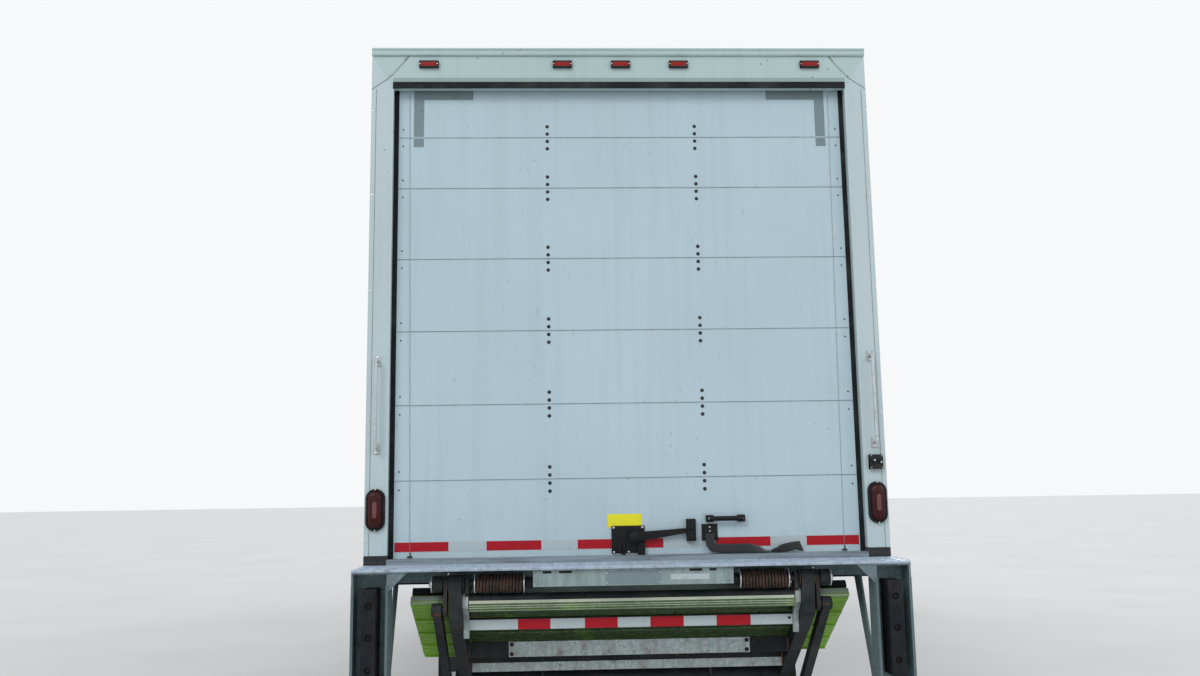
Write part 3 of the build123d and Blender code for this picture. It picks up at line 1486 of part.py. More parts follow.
# Write every sub-part
save("frame_rails", frame_rails())
save("mudflaps", *mudflaps())
save("long_sills", *long_sills())
save("floor_crossmembers", *floor_crossmembers())
save("body_floor", body_floor())
save("side_walls", *side_walls())
save("front_wall", front_wall())
save("roof", roof())
save("rear_posts", *rear_posts())
save("rear_header", rear_header())
save("rear_sill", rear_sill())
save("door_panels", *door())
save("door_seals", *door_seals())
save("door_latch", *door_latch())
save("pull_strap", pull_strap())
save("rear_lamps_and_switch", *rear_lamps(), switch_box())
save("grab_handles", *grab_handles())
save("dock_plate", dock_plate())
save("dock_bumpers", *dock_bumpers())
save("liftgate_frame", liftgate_frame())
save("lift_arms", lift_arms())
save("platform", *platform())
save("torsion_springs", *torsion_springs())
save("lift_barrels", *lift_barrels())
save("lift_rods", *lift_rods())
save("parallel_links", *parallel_links())
save("shackles", *shackles())
save("leaf_springs", *leaf_springs())
save("axles", front_axle(), rear_axle())
right_knuckle = knuckle()
save("knuckle_right", right_knuckle)
save("knuckle_left", twin(right_knuckle))
save("tie_rod", tie_rod())
save("engine", *engine())
save("driveshaft", driveshaft())
save("fuel_tank", fuel_tank())
save("battery_and_pump_boxes", battery_box(), pump_box())
save("exhaust", exhaust())
save("front_bumper", front_bumper())
save("dashboard", dashboard())
save("seats", *seats())
save("grille", grille())
for side_name, side_sign in (("left", -1), ("right", 1)):
    front_x = side_sign * front_track / 2
    save("tyre_front_" + side_name, tyre(front_x, front_axle_y))
    save("rim_front_" + side_name, front_rim(front_x, front_axle_y, side_sign))
    rear_x = side_sign * twin_track / 2
    save("tyres_rear_" + side_name, tyre(rear_x - twin_spacing / 2, rear_axle_y),
         tyre(rear_x + twin_spacing / 2, rear_axle_y))
    save("rims_rear_" + side_name, rear_rims(rear_x, rear_axle_y, side_sign))
cab_shell, cab_glass, right_door, right_pane = cab()
save("cab_shell", cab_shell)
save("cab_glass", *cab_glass)
right_door += mirror_head()
for side_name, placed in (("left", twin), ("right", lambda shape: shape)):
    save("door_" + side_name, placed(right_door))
    save("door_glass_" + side_name, placed(right_pane))
hood_shell, right_lamp = hood()
save("hood", hood_shell)
save("headlamps", right_lamp, twin(right_lamp))
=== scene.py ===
import math
from itertools import product

import bpy
from mathutils import Matrix, Vector
from mathutils.bvhtree import BVHTree


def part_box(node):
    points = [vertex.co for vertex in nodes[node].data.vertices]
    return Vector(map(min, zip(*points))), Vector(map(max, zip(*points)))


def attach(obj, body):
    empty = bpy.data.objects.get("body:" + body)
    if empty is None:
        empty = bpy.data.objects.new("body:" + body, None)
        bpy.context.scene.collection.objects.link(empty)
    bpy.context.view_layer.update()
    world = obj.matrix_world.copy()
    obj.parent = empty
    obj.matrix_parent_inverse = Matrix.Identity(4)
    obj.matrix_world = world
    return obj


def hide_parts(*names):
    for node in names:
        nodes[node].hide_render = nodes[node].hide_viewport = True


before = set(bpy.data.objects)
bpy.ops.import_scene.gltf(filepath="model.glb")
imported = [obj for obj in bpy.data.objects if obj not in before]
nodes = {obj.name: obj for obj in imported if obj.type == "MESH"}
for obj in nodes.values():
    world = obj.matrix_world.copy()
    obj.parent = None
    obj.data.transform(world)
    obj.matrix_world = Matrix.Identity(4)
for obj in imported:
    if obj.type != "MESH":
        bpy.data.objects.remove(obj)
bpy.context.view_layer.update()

# Sizes taken over from the part, in metres
half_body = 1.2955
rear_y, front_y = -5.235, 2.690
deck_z, top_z = 1.270, 3.887
opening_half = 1.1855
door_face_y = -5.180
post_mid_x = 1.2405
dock_top_z, dock_rear_y = 1.244, -5.525
tip_y, tip_z = -5.400, 1.166
pivot_y, pivot_z = -4.765, 0.620
axle_z, front_axle_y, rear_axle_y = 0.525, 4.540, -2.110
door_heights = (0.379, 0.375, 0.375, 0.375, 0.375, 0.273)
door_joints = [deck_z + sum(door_heights[: count + 1]) for count in range(len(door_heights))]

# Directions, and the two sides of the truck
right, ahead, back, up, down = (1, 0, 0), (0, 1, 0), (0, -1, 0), (0, 0, 1), (0, 0, -1)
sides = ((-1, "left"), (1, "right"))


# Materials
class Paint:
    """A material on one principled shader, whose colour, roughness and bump are layered with nodes."""

    def __init__(self, name, colour, rough, metal=0.0, **sockets):
        self.material = bpy.data.materials.new(name)
        self.material.use_nodes = True
        self.tree = self.material.node_tree
        self.shader = self.tree.nodes["Principled BSDF"]
        self.plain_colour = colour
        self.colour = tuple(colour) + (1.0,)
        self.rough = rough
        self.shader.inputs["Metallic"].default_value = metal
        for socket, value in sockets.items():
            self.shader.inputs[socket.replace("_", " ")].default_value = value
        self.place = self.node("ShaderNodeTexCoord").outputs["Object"]
        self.relief = None

    def node(self, kind, **settings):
        made = self.tree.nodes.new(kind)
        for setting, value in settings.items():
            setattr(made, setting, value)
        return made

    def put(self, value, socket):
        if isinstance(value, bpy.types.NodeSocket):
            self.tree.links.new(value, socket)
        else:
            socket.default_value = value

    def texture(self, kind, scale, stretch=None, **settings):
        made = self.node(kind, **settings)
        place = self.place
        if stretch:
            mapping = self.node("ShaderNodeMapping")
            mapping.inputs["Scale"].default_value = stretch
            self.put(place, mapping.inputs["Vector"])
            place = mapping.outputs["Vector"]
        self.put(place, made.inputs["Vector"])
        made.inputs["Scale"].default_value = scale
        return made

    def noise(self, scale, detail=4, low=0.35, high=0.65, stretch=None):
        made = self.texture("ShaderNodeTexNoise", scale, stretch)
        made.inputs["Detail"].default_value = detail
        return self.between(made.outputs["Fac"], low, high)

    def cells(self, scale, low=0.0, high=0.6, output="Distance", feature="F1", stretch=None):
        made = self.texture("ShaderNodeTexVoronoi", scale, stretch, feature=feature)
        return self.between(made.outputs[output], low, high)

    def wave(self, scale, direction):
        made = self.texture("ShaderNodeTexWave", scale, bands_direction=direction)
        return self.between(made.outputs["Fac"], 0.0, 1.0)

    def between(self, value, low, high):
        """From 0 at low to 1 at high."""
        made = self.node("ShaderNodeMapRange")
        self.put(value, made.inputs["Value"])
        made.inputs["From Min"].default_value = low
        made.inputs["From Max"].default_value = high
        return made.outputs["Result"]

    def along(self, axis, low, high):
        """From 0 at low to 1 at high along an axis of the part."""
        split = self.node("ShaderNodeSeparateXYZ")
        self.put(self.place, split.inputs["Vector"])
        return self.between(split.outputs[axis], low, high)

    def within(self, edge, fade):
        """1 between the planes x = -edge and x = edge, and 0 from fade outwards."""
        return self.combine(self.along("X", -fade, -edge), self.along("X", fade, edge))

    def combine(self, first, second):
        made = self.node("ShaderNodeMath", operation="MULTIPLY")
        self.put(first, made.inputs[0])
        self.put(second, made.inputs[1])
        made.use_clamp = True
        return made.outputs["Value"]

    def edges(self, radius):
        """1 on sharp edges and 0 on flat faces."""
        bevel = self.node("ShaderNodeBevel", samples=4)
        bevel.inputs["Radius"].default_value = radius
        dot = self.node("ShaderNodeVectorMath", operation="DOT_PRODUCT")
        self.put(bevel.outputs["Normal"], dot.inputs[0])
        self.put(self.node("ShaderNodeNewGeometry").outputs["Normal"], dot.inputs[1])
        return self.between(dot.outputs["Value"], 0.98, 0.86)

    def layer(self, mask, colour, rough=None, share=1.0):
        """Mixes in another colour, or a multiple of the paint's own, and a roughness where the mask is 1."""
        if isinstance(colour, float):
            colour = [part * colour for part in self.plain_colour]
        if share != 1.0:
            mask = self.combine(mask, share)
        mix = self.node("ShaderNodeMix", data_type="RGBA")
        self.put(mask, mix.inputs["Factor"])
        self.put(self.colour, mix.inputs[6])
        self.put(tuple(colour) + (1.0,), mix.inputs[7])
        self.colour = mix.outputs[2]
        if rough is not None:
            blend = self.node("ShaderNodeMix", data_type="FLOAT")
            self.put(mask, blend.inputs["Factor"])
            self.put(self.rough, blend.inputs[2])
            self.put(rough, blend.inputs[3])
            self.rough = blend.outputs[0]
        return self

    def stain(self, colour, rough, share, *noise):
        return self.layer(self.noise(*noise), colour, rough, share)

    def worn(self, radius, share, *noise, colour=None, rough=0.85):
        """Chips the paint along sharp edges, down to rust."""
        mask = self.combine(self.edges(radius), self.noise(*noise))
        return self.layer(mask, colour or rust_brown, rough, share)

    def bump(self, height, strength=0.3, distance=0.002):
        made = self.node("ShaderNodeBump")
        made.inputs["Strength"].default_value = strength
        made.inputs["Distance"].default_value = distance
        self.put(height, made.inputs["Height"])
        if self.relief is not None:
            self.put(self.relief, made.inputs["Normal"])
        self.relief = made.outputs["Normal"]
        return self

    def grain(self, strength, distance, *noise):
        return self.bump(self.noise(*noise), strength, distance).done()

    def done(self):
        self.put(self.colour, self.shader.inputs["Base Color"])
        self.put(self.rough, self.shader.inputs["Roughness"])
        if self.relief is not None:
            self.put(self.relief, self.shader.inputs["Normal"])
        return self.material


rust_brown = (0.17, 0.07, 0.03)
rust_orange = (0.36, 0.14, 0.04)
road_dust = (0.30, 0.27, 0.23)
grey_dust = (0.16, 0.155, 0.14)
old_grease = (0.16, 0.13, 0.10)
streaks = (4.0, 4.0, 0.5)


def enamel(name, colour, rough=0.32, rust=0.0, dirt=0.35, dust_top=1.5):
    """Sprayed paint with fine orange peel, faint streaks, low road dust and a few rust dots."""
    paint = Paint(name, colour, rough, Coat_Weight=0.15, Coat_Roughness=0.2)
    paint.stain(0.90, rough + 0.06, 0.5, 1.3, 6)
    paint.stain(0.72, rough + 0.12, dirt * 0.6, 5.0, 5, 0.50, 0.80, (3.0, 3.0, 0.12))
    paint.stain((0.22, 0.21, 0.18), None, dirt * 0.4, 55, 3, 0.66, 0.74, (1.0, 1.0, 0.25))
    low = paint.combine(paint.along("Z", dust_top, 0.3), paint.noise(9.0, 4, 0.30, 0.75))
    paint.layer(low, road_dust, 0.75, dirt)
    if rust:
        dots = paint.combine(paint.noise(38, 2, 0.70, 0.735), paint.noise(2.2, 4, 0.5, 0.6))
        paint.layer(dots, rust_brown, 0.85, rust).worn(0.004, rust, 30, 4, 0.60, 0.68)
    return paint.bump(paint.noise(900, 2), 0.05, 0.0006).grain(0.06, 0.01, 3.5)


def black_paint(name, colour=(0.018, 0.018, 0.020), rough=0.42, rust=0.8, dust=0.35):
    """Black paint over steel, chipped to rust at the edges and dusty on flat faces."""
    paint = Paint(name, colour, rough, Specular_IOR_Level=0.15).stain(2.0, rough + 0.15, 0.7, 14, 6)
    paint.stain(grey_dust, 0.8, dust, 6, 8, 0.45, 0.75).worn(0.005, rust, 40, 4, 0.46, 0.60)
    return paint.stain(rust_brown, 0.88, rust * 0.8, 26, 7, 0.66, 0.72).grain(0.25, 0.0012, 160, 5)


def rusty(name, colour=(0.13, 0.065, 0.04), rough=0.82):
    paint = Paint(name, colour, rough, 0.15).stain(rust_orange, 0.9, 0.55, 22, 8)
    return paint.stain((0.045, 0.035, 0.03), 0.7, 0.8, 9, 8, 0.45, 0.7).grain(0.5, 0.0015, 240, 6)


def weathered_zinc(paint, spangle, streak, spots, wear):
    """Crystal spangle, bloom in streaks, brown spots and a little rust at the edges."""
    size, colour, rough, share = spangle
    paint.layer(paint.cells(size, 0.2, 0.9, "Color"), colour, rough, share)
    paint.stain(*streak[:4], 6, 0.45, 0.7, streaks).stain(*spots[:4], 7, *spots[4:])
    return paint.worn(0.006, wear[0], 50, 4, wear[1], 0.64).grain(0.15, 0.001, 180)


def galvanised(name, colour=(0.43, 0.47, 0.49), rough=0.42):
    return weathered_zinc(Paint(name, colour, rough, 0.75), (75, (0.62, 0.66, 0.68), rough - 0.1, 0.5),
                          ((0.30, 0.31, 0.30), 0.62, 0.7, 6), ((0.20, 0.18, 0.15), 0.75, 0.6, 16, 0.58, 0.70),
                          (0.7, 0.56))


def dull_zinc(name, colour, rough=0.5):
    """Zinc that has lost most of its shine."""
    return weathered_zinc(Paint(name, colour, rough, 0.25), (60, 1.25, rough - 0.08, 0.4),
                          (0.6, 0.65, 0.6, 7), (old_grease, 0.8, 0.6, 18, 0.60, 0.72), (0.7, 0.54))


def dock_zinc(name):
    """Zinc on the dock plate: greyer on the box and dark on the legs, with painted sky light making the top
    face bright and bluish.
    """
    paint = Paint(name, (0.115, 0.175, 0.19), 0.5, 0.2)
    paint.layer(paint.within(0.50, 0.56), (0.25, 0.33, 0.33))
    # Painted light: the upward top face is made bright and bluish, as lit by and reflecting the sky.
    paint.layer(paint.along("Z", 1.229, 1.237), (0.44, 0.54, 0.66), 0.38)
    return weathered_zinc(paint, (60, (0.34, 0.42, 0.45), 0.45, 0.22), ((0.09, 0.12, 0.13), 0.65, 0.42, 7),
                          (old_grease, 0.8, 0.5, 18, 0.62, 0.74), (0.6, 0.54))


def sill_paint(name):
    """The sill: scuffed grey paint between black feet."""
    paint = Paint(name, (0.018, 0.019, 0.020), 0.6, Specular_IOR_Level=0.3)
    paint.layer(paint.within(1.184, 1.186), (0.24, 0.29, 0.33), 0.5)
    paint.stain((0.05, 0.06, 0.07), 0.7, 0.7, 16, 6, 0.45, 0.70, (0.2, 1.0, 3.0))
    return paint.stain(rust_brown, 0.85, 0.6, 30, 7, 0.62, 0.72).grain(0.2, 0.001, 140)


def oiled_steel(name):
    """Dark spring wire with old grease and a film of rust."""
    paint = Paint(name, (0.040, 0.026, 0.022), 0.5, 0.3)
    paint.stain((0.13, 0.060, 0.035), 0.8, 0.7, 30, 7, 0.42, 0.7)
    return paint.stain((0.018, 0.016, 0.015), 0.4, 0.7, 9, 7, 0.5, 0.7).grain(0.4, 0.001, 260, 5)


def painted_grass_reflection(name):
    """Ribbed aluminium coloured green as a painted reflection of sunlit grass, paler bare metal on its sharp
    edges, and painted shade darkening it towards the middle, between the arms.
    """
    along_ribs = (30.0, 1.0, 1.0)
    # The green base colour, and the brighter green streaks along the ribs, are a painted reflection of sunlit
    # grass on the aluminium.
    paint = Paint(name, (0.22, 0.48, 0.025), 0.45, 0.05)
    paint.stain((0.30, 0.60, 0.05), 0.42, 0.6, 30, 3, 0.35, 0.65, along_ribs)
    # Painted shade: the platform is darkened between the arms, where the dock plate and the parts above shade
    # it.
    middle = paint.combine(paint.within(0.80, 0.98), paint.noise(4, 9, 0.10, 0.42))
    paint.layer(middle, (0.027, 0.060, 0.024), 0.5, 0.92)
    paint.stain((0.12, 0.18, 0.06), 0.6, 0.3, 5, 7, 0.52, 0.75)
    paint.worn(0.004, 0.9, 40, 4, 0.45, 0.60, colour=(0.42, 0.46, 0.40), rough=0.35)
    return paint.grain(0.15, 0.0008, 120, 2, 0.35, 0.65, along_ribs)


def bare_aluminium(name, colour=(0.60, 0.62, 0.62), rough=0.38, across=(1.0, 1.0, 30.0), grime=0.55,
                   metal=0.85):
    """Mill-finish aluminium with fine drawing lines, dull patches and grime."""
    paint = Paint(name, colour, rough, metal).stain(0.75, rough + 0.12, 0.6, 40, 3, 0.35, 0.65, across)
    paint.stain((0.26, 0.26, 0.24), 0.62, grime, 4, 7, 0.42, 0.7)
    return paint.grain(0.12, 0.0008, 120, 2, 0.35, 0.65, across)


def moulded(name, colour, rough=0.55, cell=420, strength=0.35):
    """Grained plastic or rubber, scuffed paler here and there."""
    paint = Paint(name, colour, rough, Specular_IOR_Level=0.15)
    paint.stain([part * 1.9 + 0.006 for part in colour], rough + 0.1, 0.6, 18, 6, 0.45, 0.7)
    paint.stain(grey_dust, 0.85, 0.18, 5, 7, 0.52, 0.75)
    return paint.bump(paint.cells(cell), strength, 0.0008).done()


def lens(name, colour, rough=0.12):
    """A moulded lens with fine ribs under a glossy face."""
    paint = Paint(name, colour, rough, Coat_Weight=0.05, Coat_Roughness=0.1, Specular_IOR_Level=0.2)
    paint.stain(0.55, rough + 0.1, 0.6, 60, 3).stain((0.10, 0.09, 0.08), 0.5, 0.12, 9, 4, 0.5, 0.75)
    return paint.bump(paint.cells(260, 0.0, 0.5), 0.4, 0.001).done()


def tape(name, colour):
    """Reflective tape: sealed honeycomb cells under a clear film, scuffed and dusty."""
    paint = Paint(name, colour, 0.40, Coat_Weight=0.08, Coat_Roughness=0.25, Specular_IOR_Level=0.2)
    rim = paint.cells(170, 0.0, 0.07, feature="DISTANCE_TO_EDGE")
    paint.layer(rim, [min(1.0, part * 1.2 + 0.01) for part in colour], None, 0.45)
    paint.stain([part * 0.45 + 0.02 for part in colour], 0.6, 0.5, 26, 7, 0.60, 0.76)
    return paint.bump(rim, 0.2, 0.0004).done()


def clear_glass(name, colour, rough=0.03):
    paint = Paint(name, colour, rough, Transmission_Weight=0.92, IOR=1.5, Specular_IOR_Level=0.5)
    return paint.stain(0.9, 0.12, 0.4, 7, 6, 0.5, 0.9).grain(0.02, 0.01, 2)


def polished(name, colour=(0.72, 0.73, 0.74), rough=0.12):
    paint = Paint(name, colour, rough, 1.0).stain(0.8, rough + 0.22, 0.5, 30, 6, 0.4, 0.75)
    return paint.stain(road_dust, 0.7, 0.25, 5, 8, 0.56, 0.75).grain(0.05, 0.001, 60)


def woven(name, colour, threads, across):
    """Cloth or webbing with crossing threads."""
    paint = Paint(name, colour, 0.85, Sheen_Weight=0.3, Sheen_Roughness=0.5)
    mesh = paint.combine(paint.wave(threads, "X"), paint.wave(threads, across))
    paint.layer(mesh, [part * 1.8 + 0.01 for part in colour], None, 0.6)
    return paint.stain(0.6, 0.9, 0.5, 8, 6, 0.5, 0.75).bump(mesh, 0.5, 0.0008).done()


def planks(name):
    """Laminated hardwood floor: narrow strips with grain along the body, worn by feet and freight."""
    paint = Paint(name, (0.30, 0.18, 0.09), 0.55)
    paint.layer(paint.cells(14, 0.2, 0.8, "Color", stretch=(1.0, 0.06, 0.0)), (0.44, 0.28, 0.15), None, 0.7)
    paint.stain((0.20, 0.12, 0.06), 0.6, 0.6, 30, 6, 0.35, 0.65, (6.0, 0.25, 1.0))
    paint.stain((0.25, 0.22, 0.19), 0.75, 0.6, 2.5, 8, 0.45, 0.7)
    return paint.grain(0.25, 0.001, 60, 4, 0.35, 0.65, (6.0, 0.25, 1.0))


def tyre_rubber(name):
    paint = Paint(name, (0.022, 0.022, 0.023), 0.72).stain((0.075, 0.070, 0.062), 0.85, 0.75, 12, 8, 0.4, 0.7)
    return paint.stain(road_dust, 0.9, 0.3, 3, 6, 0.5, 0.8).grain(0.3, 0.0008, 300)


body_white = enamel("body_white", (0.47, 0.58, 0.60), rust=0.9)
header_white = enamel("header_white", (0.42, 0.55, 0.54), rust=1.0, dirt=0.5)
header_shade = enamel("header_shade", (0.27, 0.37, 0.35), 0.45, 0.2, 0.5)
door_white = enamel("door_white", (0.45, 0.58, 0.64), 0.30, 0.35, 0.5, 1.7)
cab_white = enamel("cab_white", (0.56, 0.64, 0.67), 0.22, dirt=0.25)
wheel_white = enamel("wheel_white", (0.66, 0.66, 0.63), 0.38, 0.8, 0.8, 1.3)
label_yellow = enamel("label_yellow", (0.80, 0.74, 0.003), 0.4, dirt=0.3)
chassis_black = black_paint("chassis_black", rust=0.5, dust=0.40)
gate_black = black_paint("gate_black", (0.011, 0.015, 0.017), 0.45, 0.7, 0.18)
latch_black = black_paint("latch_black", (0.006, 0.007, 0.008), 0.4, 0.3, 0.05)
door_bolt = black_paint("door_bolt", (0.020, 0.026, 0.030), 0.5, 0.3, 0.1)
rusty_steel = rusty("rusty_steel")
engine_iron = rusty("engine_iron", (0.055, 0.055, 0.058), 0.6)
spring_steel = oiled_steel("spring_steel")
zinc = galvanised("zinc")
zinc_dull = galvanised("zinc_dull", (0.30, 0.37, 0.37), 0.5)
plate_zinc = dock_zinc("plate_zinc")
leg_zinc = dull_zinc("leg_zinc", (0.10, 0.15, 0.16))
sill_steel = sill_paint("sill_steel")
bright_zinc = polished("bright_zinc", (0.62, 0.63, 0.62), 0.28)
chrome = polished("chrome")
polished_cap = polished("polished_cap", (0.60, 0.61, 0.62), 0.30)
mirror_face = polished("mirror_face", (0.85, 0.87, 0.88), 0.03)
sheet_aluminium = bare_aluminium("sheet_aluminium")
# Bare aluminium for the platform's ribs and edges; its green tint is a painted reflection of sunlit grass.
bright_edge = bare_aluminium("bright_edge", (0.56, 0.63, 0.50), 0.3, (1.0, 30.0, 30.0))
# The roof's aluminium is toned darker and duller than the same sheet elsewhere as painted shade, to hold down
# the strong light on the top.
roof_sheet = bare_aluminium("roof_sheet", (0.40, 0.43, 0.44), 0.60, (1.0, 0.2, 1.0), 0.20, 0.3)
grass_reflection_green = painted_grass_reflection("grass_reflection_green")
tyre_black = tyre_rubber("tyre_black")
black_rubber = moulded("black_rubber", (0.010, 0.012, 0.014), 0.7, 300)
black_plastic = moulded("black_plastic", (0.020, 0.020, 0.022), 0.5)
trim_grey = moulded("trim_grey", (0.11, 0.11, 0.12), 0.6)
joint_grey = moulded("joint_grey", (0.17, 0.18, 0.18), 0.6)
grille_grey = moulded("grille_grey", (0.13, 0.13, 0.14), 0.35, 500, 0.1)
seat_vinyl = moulded("seat_vinyl", (0.055, 0.057, 0.062), 0.45, 380, 0.3)
seat_cloth = woven("seat_cloth", (0.10, 0.105, 0.12), 650, "Y")
webbing = woven("webbing", (0.014, 0.014, 0.015), 900, "Z")
deck_wood = planks("deck_wood")
cab_glass = clear_glass("cab_glass", (0.82, 0.88, 0.86))
lamp_glass = clear_glass("lamp_glass", (0.93, 0.95, 0.96))
lens_red = lens("lens_red", (0.34, 0.012, 0.010))
lens_dark_red = lens("lens_dark_red", (0.040, 0.001, 0.002), 0.35)
lens_amber = lens("lens_amber", (0.75, 0.23, 0.02))
lens_pale = lens("lens_pale", (0.34, 0.28, 0.27), 0.2)
lens_core = lens("lens_core", (0.16, 0.07, 0.065), 0.35)
tape_red = tape("tape_red", (0.36, 0.001, 0.010))
tape_white = tape("tape_white", (0.40, 0.47, 0.49))
tape_grey = tape("tape_grey", (0.17, 0.23, 0.25))


# Meshes
def frame_of(way):
    """A unit vector along a direction and two across it."""
    way = Vector(way).normalized()
    side = way.cross(Vector(up))
    if side.length < 0.1:
        side = way.cross(Vector(ahead))
    side.normalize()
    return way, side, way.cross(side)


def circle(count, radius, shift=0.0):
    """Even points on a circle, as pairs."""
    angles = [2 * math.pi * (step + shift) / count for step in range(count)]
    return [(radius * math.cos(angle), radius * math.sin(angle)) for angle in angles]


def about(middle, half):
    return middle - half, middle + half


def smooth(mesh):
    mesh.polygons.foreach_set("use_smooth", [True] * len(mesh.polygons))


def soften(made, width, segments=2):
    """Rounds the sharp edges a little."""
    rounding = made.modifiers.new("rounding", "BEVEL")
    rounding.width, rounding.segments = width, segments
    rounding.limit_method, rounding.angle_limit = "ANGLE", math.radians(50)
    rounding.harden_normals = True


class Piece:
    """One visible piece: faces are added shape by shape, each with the paint in use."""

    def __init__(self, name, paint, body="truck", slot=None):
        self.name, self.body, self.slot_name = name, body, slot
        self.corners, self.faces, self.marks, self.paints = [], [], [], []
        self.turn = Matrix.Identity(4)
        self.use(paint)

    def use(self, paint):
        if paint not in self.paints:
            self.paints.append(paint)
        self.mark = self.paints.index(paint)
        return self

    def add(self, corners, faces):
        start = len(self.corners)
        self.corners += [self.turn @ Vector(corner) for corner in corners]
        self.faces += [[start + index for index in face] for face in faces]
        self.marks += [self.mark] * len(faces)
        return self

    def box(self, x, y, z):
        corners = list(product(sorted(x), sorted(y), sorted(z)))
        return self.add(corners,
                        [(0, 1, 3, 2), (4, 6, 7, 5), (0, 4, 5, 1), (2, 3, 7, 6), (0, 2, 6, 4), (1, 5, 7, 3)])

    def prism(self, outline, axis, low, high):
        """A flat outline pushed along an axis; the outline gives the other two axes in order."""
        return self.rings([[(*point[:axis], level, *point[axis:]) for point in outline]
                           for level in (low, high)])

    def rings(self, rings, closed=False):
        """Faces between successive rings of points, with caps on an open row."""
        count = len(rings[0])
        corners = [corner for ring in rings for corner in ring]
        faces = []
        for index in range(len(rings) if closed else len(rings) - 1):
            near, far = index * count, (index + 1) % len(rings) * count
            faces += [(near + i, near + (i + 1) % count, far + (i + 1) % count, far + i)
                      for i in range(count)]
        if not closed:
            faces += [tuple(range(count))[::-1], tuple(range(len(corners) - count, len(corners)))]
        return self.add(corners, faces)

    def lathe(self, profile, centre, way, steps=32, closed=False):
        """A profile of (distance along, radius) turned about a line."""
        way, side, over = frame_of(way)
        centre = Vector(centre)
        return self.rings([[centre + way * along + side * across + over * lift
                            for across, lift in circle(steps, radius)] for along, radius in profile], closed)

    def collar(self, inner, outer, low, high, centre, way, steps=28):
        profile = [(low, inner), (low, outer), (high, outer), (high, inner)]
        return self.lathe(profile, centre, way, steps, closed=True)

    def rod(self, start, end, radius, steps=16, tip=None):
        start, end = Vector(start), Vector(end)
        length = (end - start).length
        return self.lathe([(0, radius), (length, tip or radius)], start, end - start, steps)

    def tube(self, points, radius, steps=8, closed=False):
        """A round bar through a list of points."""
        points = [Vector(point) for point in points]
        rings, side = [], None
        for index, point in enumerate(points):
            before = points[index - 1] if index or closed else point
            after = points[(index + 1) % len(points)] if index < len(points) - 1 or closed else point
            way = (after - before).normalized()
            if side is None:
                side = frame_of(way)[1]
            side = (side - way * side.dot(way)).normalized()
            over = way.cross(side)
            rings.append([point + side * across + over * lift for across, lift in circle(steps, radius)])
        return self.rings(rings, closed)

    def bolt(self, place, way, size=0.010):
        """A hexagon head on a washer."""
        self.lathe([(0, size * 1.5), (size * 0.2, size * 1.5)], place, way, 14)
        return self.lathe([(0, size), (size * 0.75, size), (size * 0.85, size * 0.85)], place, way, 6)

    def rivet(self, place, way, size=0.007):
        """A low domed head."""
        return self.lathe([(0, size), (size * 0.35, size * 0.8), (size * 0.5, size * 0.35)], place, way, 8)

    def stud(self, place, way, size=0.006):
        """A rivet head in few faces."""
        return self.lathe([(0, size), (size * 0.45, size * 0.62)], place, way, 6)

    def both_sides(self):
        """Adds the mirror image of everything so far, on the other side of the truck."""
        start, count = len(self.corners), len(self.faces)
        self.corners += [Vector((-corner.x, corner.y, corner.z)) for corner in self.corners]
        self.faces += [[start + index for index in reversed(face)] for face in self.faces[:count]]
        self.marks += self.marks[:count]
        return self

    def done(self, bevel=0.0, replaces=()):
        mesh = bpy.data.meshes.new(self.name)
        mesh.from_pydata([tuple(corner) for corner in self.corners], [], self.faces)
        for paint in self.paints:
            mesh.materials.append(paint)
        mesh.polygons.foreach_set("material_index", self.marks)
        smooth(mesh)
        mesh.validate()
        mesh.set_sharp_from_angle(angle=math.radians(38))
        made = bpy.data.objects.new(self.name, mesh)
        bpy.context.scene.collection.objects.link(made)
        if bevel:
            soften(made, bevel)
        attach(made, self.body)
        if replaces:
            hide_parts(*replaces)
        return made


def freeze(pad):
    """Puts the modifiers' result in place of the mesh."""
    bpy.context.view_layer.update()
    result = bpy.data.meshes.new_from_object(pad.evaluated_get(bpy.context.evaluated_depsgraph_get()))
    pad.modifiers.clear()
    pad.data = result


# The CAD nodes' paints
dressed = {
    sill_steel: "rear_sill",
    chassis_black: "frame_rails long_sills floor_crossmembers axles knuckle_left knuckle_right tie_rod",
    body_white: "side_walls front_wall rear_posts",
    header_white: "rear_header",
    roof_sheet: "roof",
    sheet_aluminium: "fuel_tank",
    deck_wood: "body_floor",
    door_white: "door_panels",
    black_rubber: "door_seals dock_bumpers mudflaps",
    latch_black: "door_latch",
    plate_zinc: "dock_plate",
    zinc: "grab_handles",
    gate_black: "liftgate_frame lift_arms parallel_links shackles lift_barrels",
    grass_reflection_green: "platform",
    chrome: "lift_rods front_bumper",
    black_plastic: "battery_and_pump_boxes rear_lamps_and_switch",
    rusty_steel: "leaf_springs driveshaft exhaust",
    engine_iron: "engine",
    trim_grey: "dashboard",
    seat_cloth: "seats",
    grille_grey: "grille",
    cab_white: "cab_shell door_left door_right hood",
    cab_glass: "cab_glass door_glass_left door_glass_right",
    lamp_glass: "headlamps",
    wheel_white: "rim_front_left rim_front_right rims_rear_left rims_rear_right",
    tyre_black: "tyre_front_left tyre_front_right tyres_rear_left tyres_rear_right",
    webbing: "pull_strap",
    spring_steel: "torsion_springs",
}
for paint, names in dressed.items():
    for name in names.split():
        nodes[name].data.materials.clear()
        nodes[name].data.materials.append(paint)


# Rear frame: drip rail, weld beads, marker lamps, tail lamps, switches and grab handles
def behind(proud, sunk=0.0):
    """The depth of a thin thing on the rear frame."""
    return rear_y - proud, rear_y + sunk


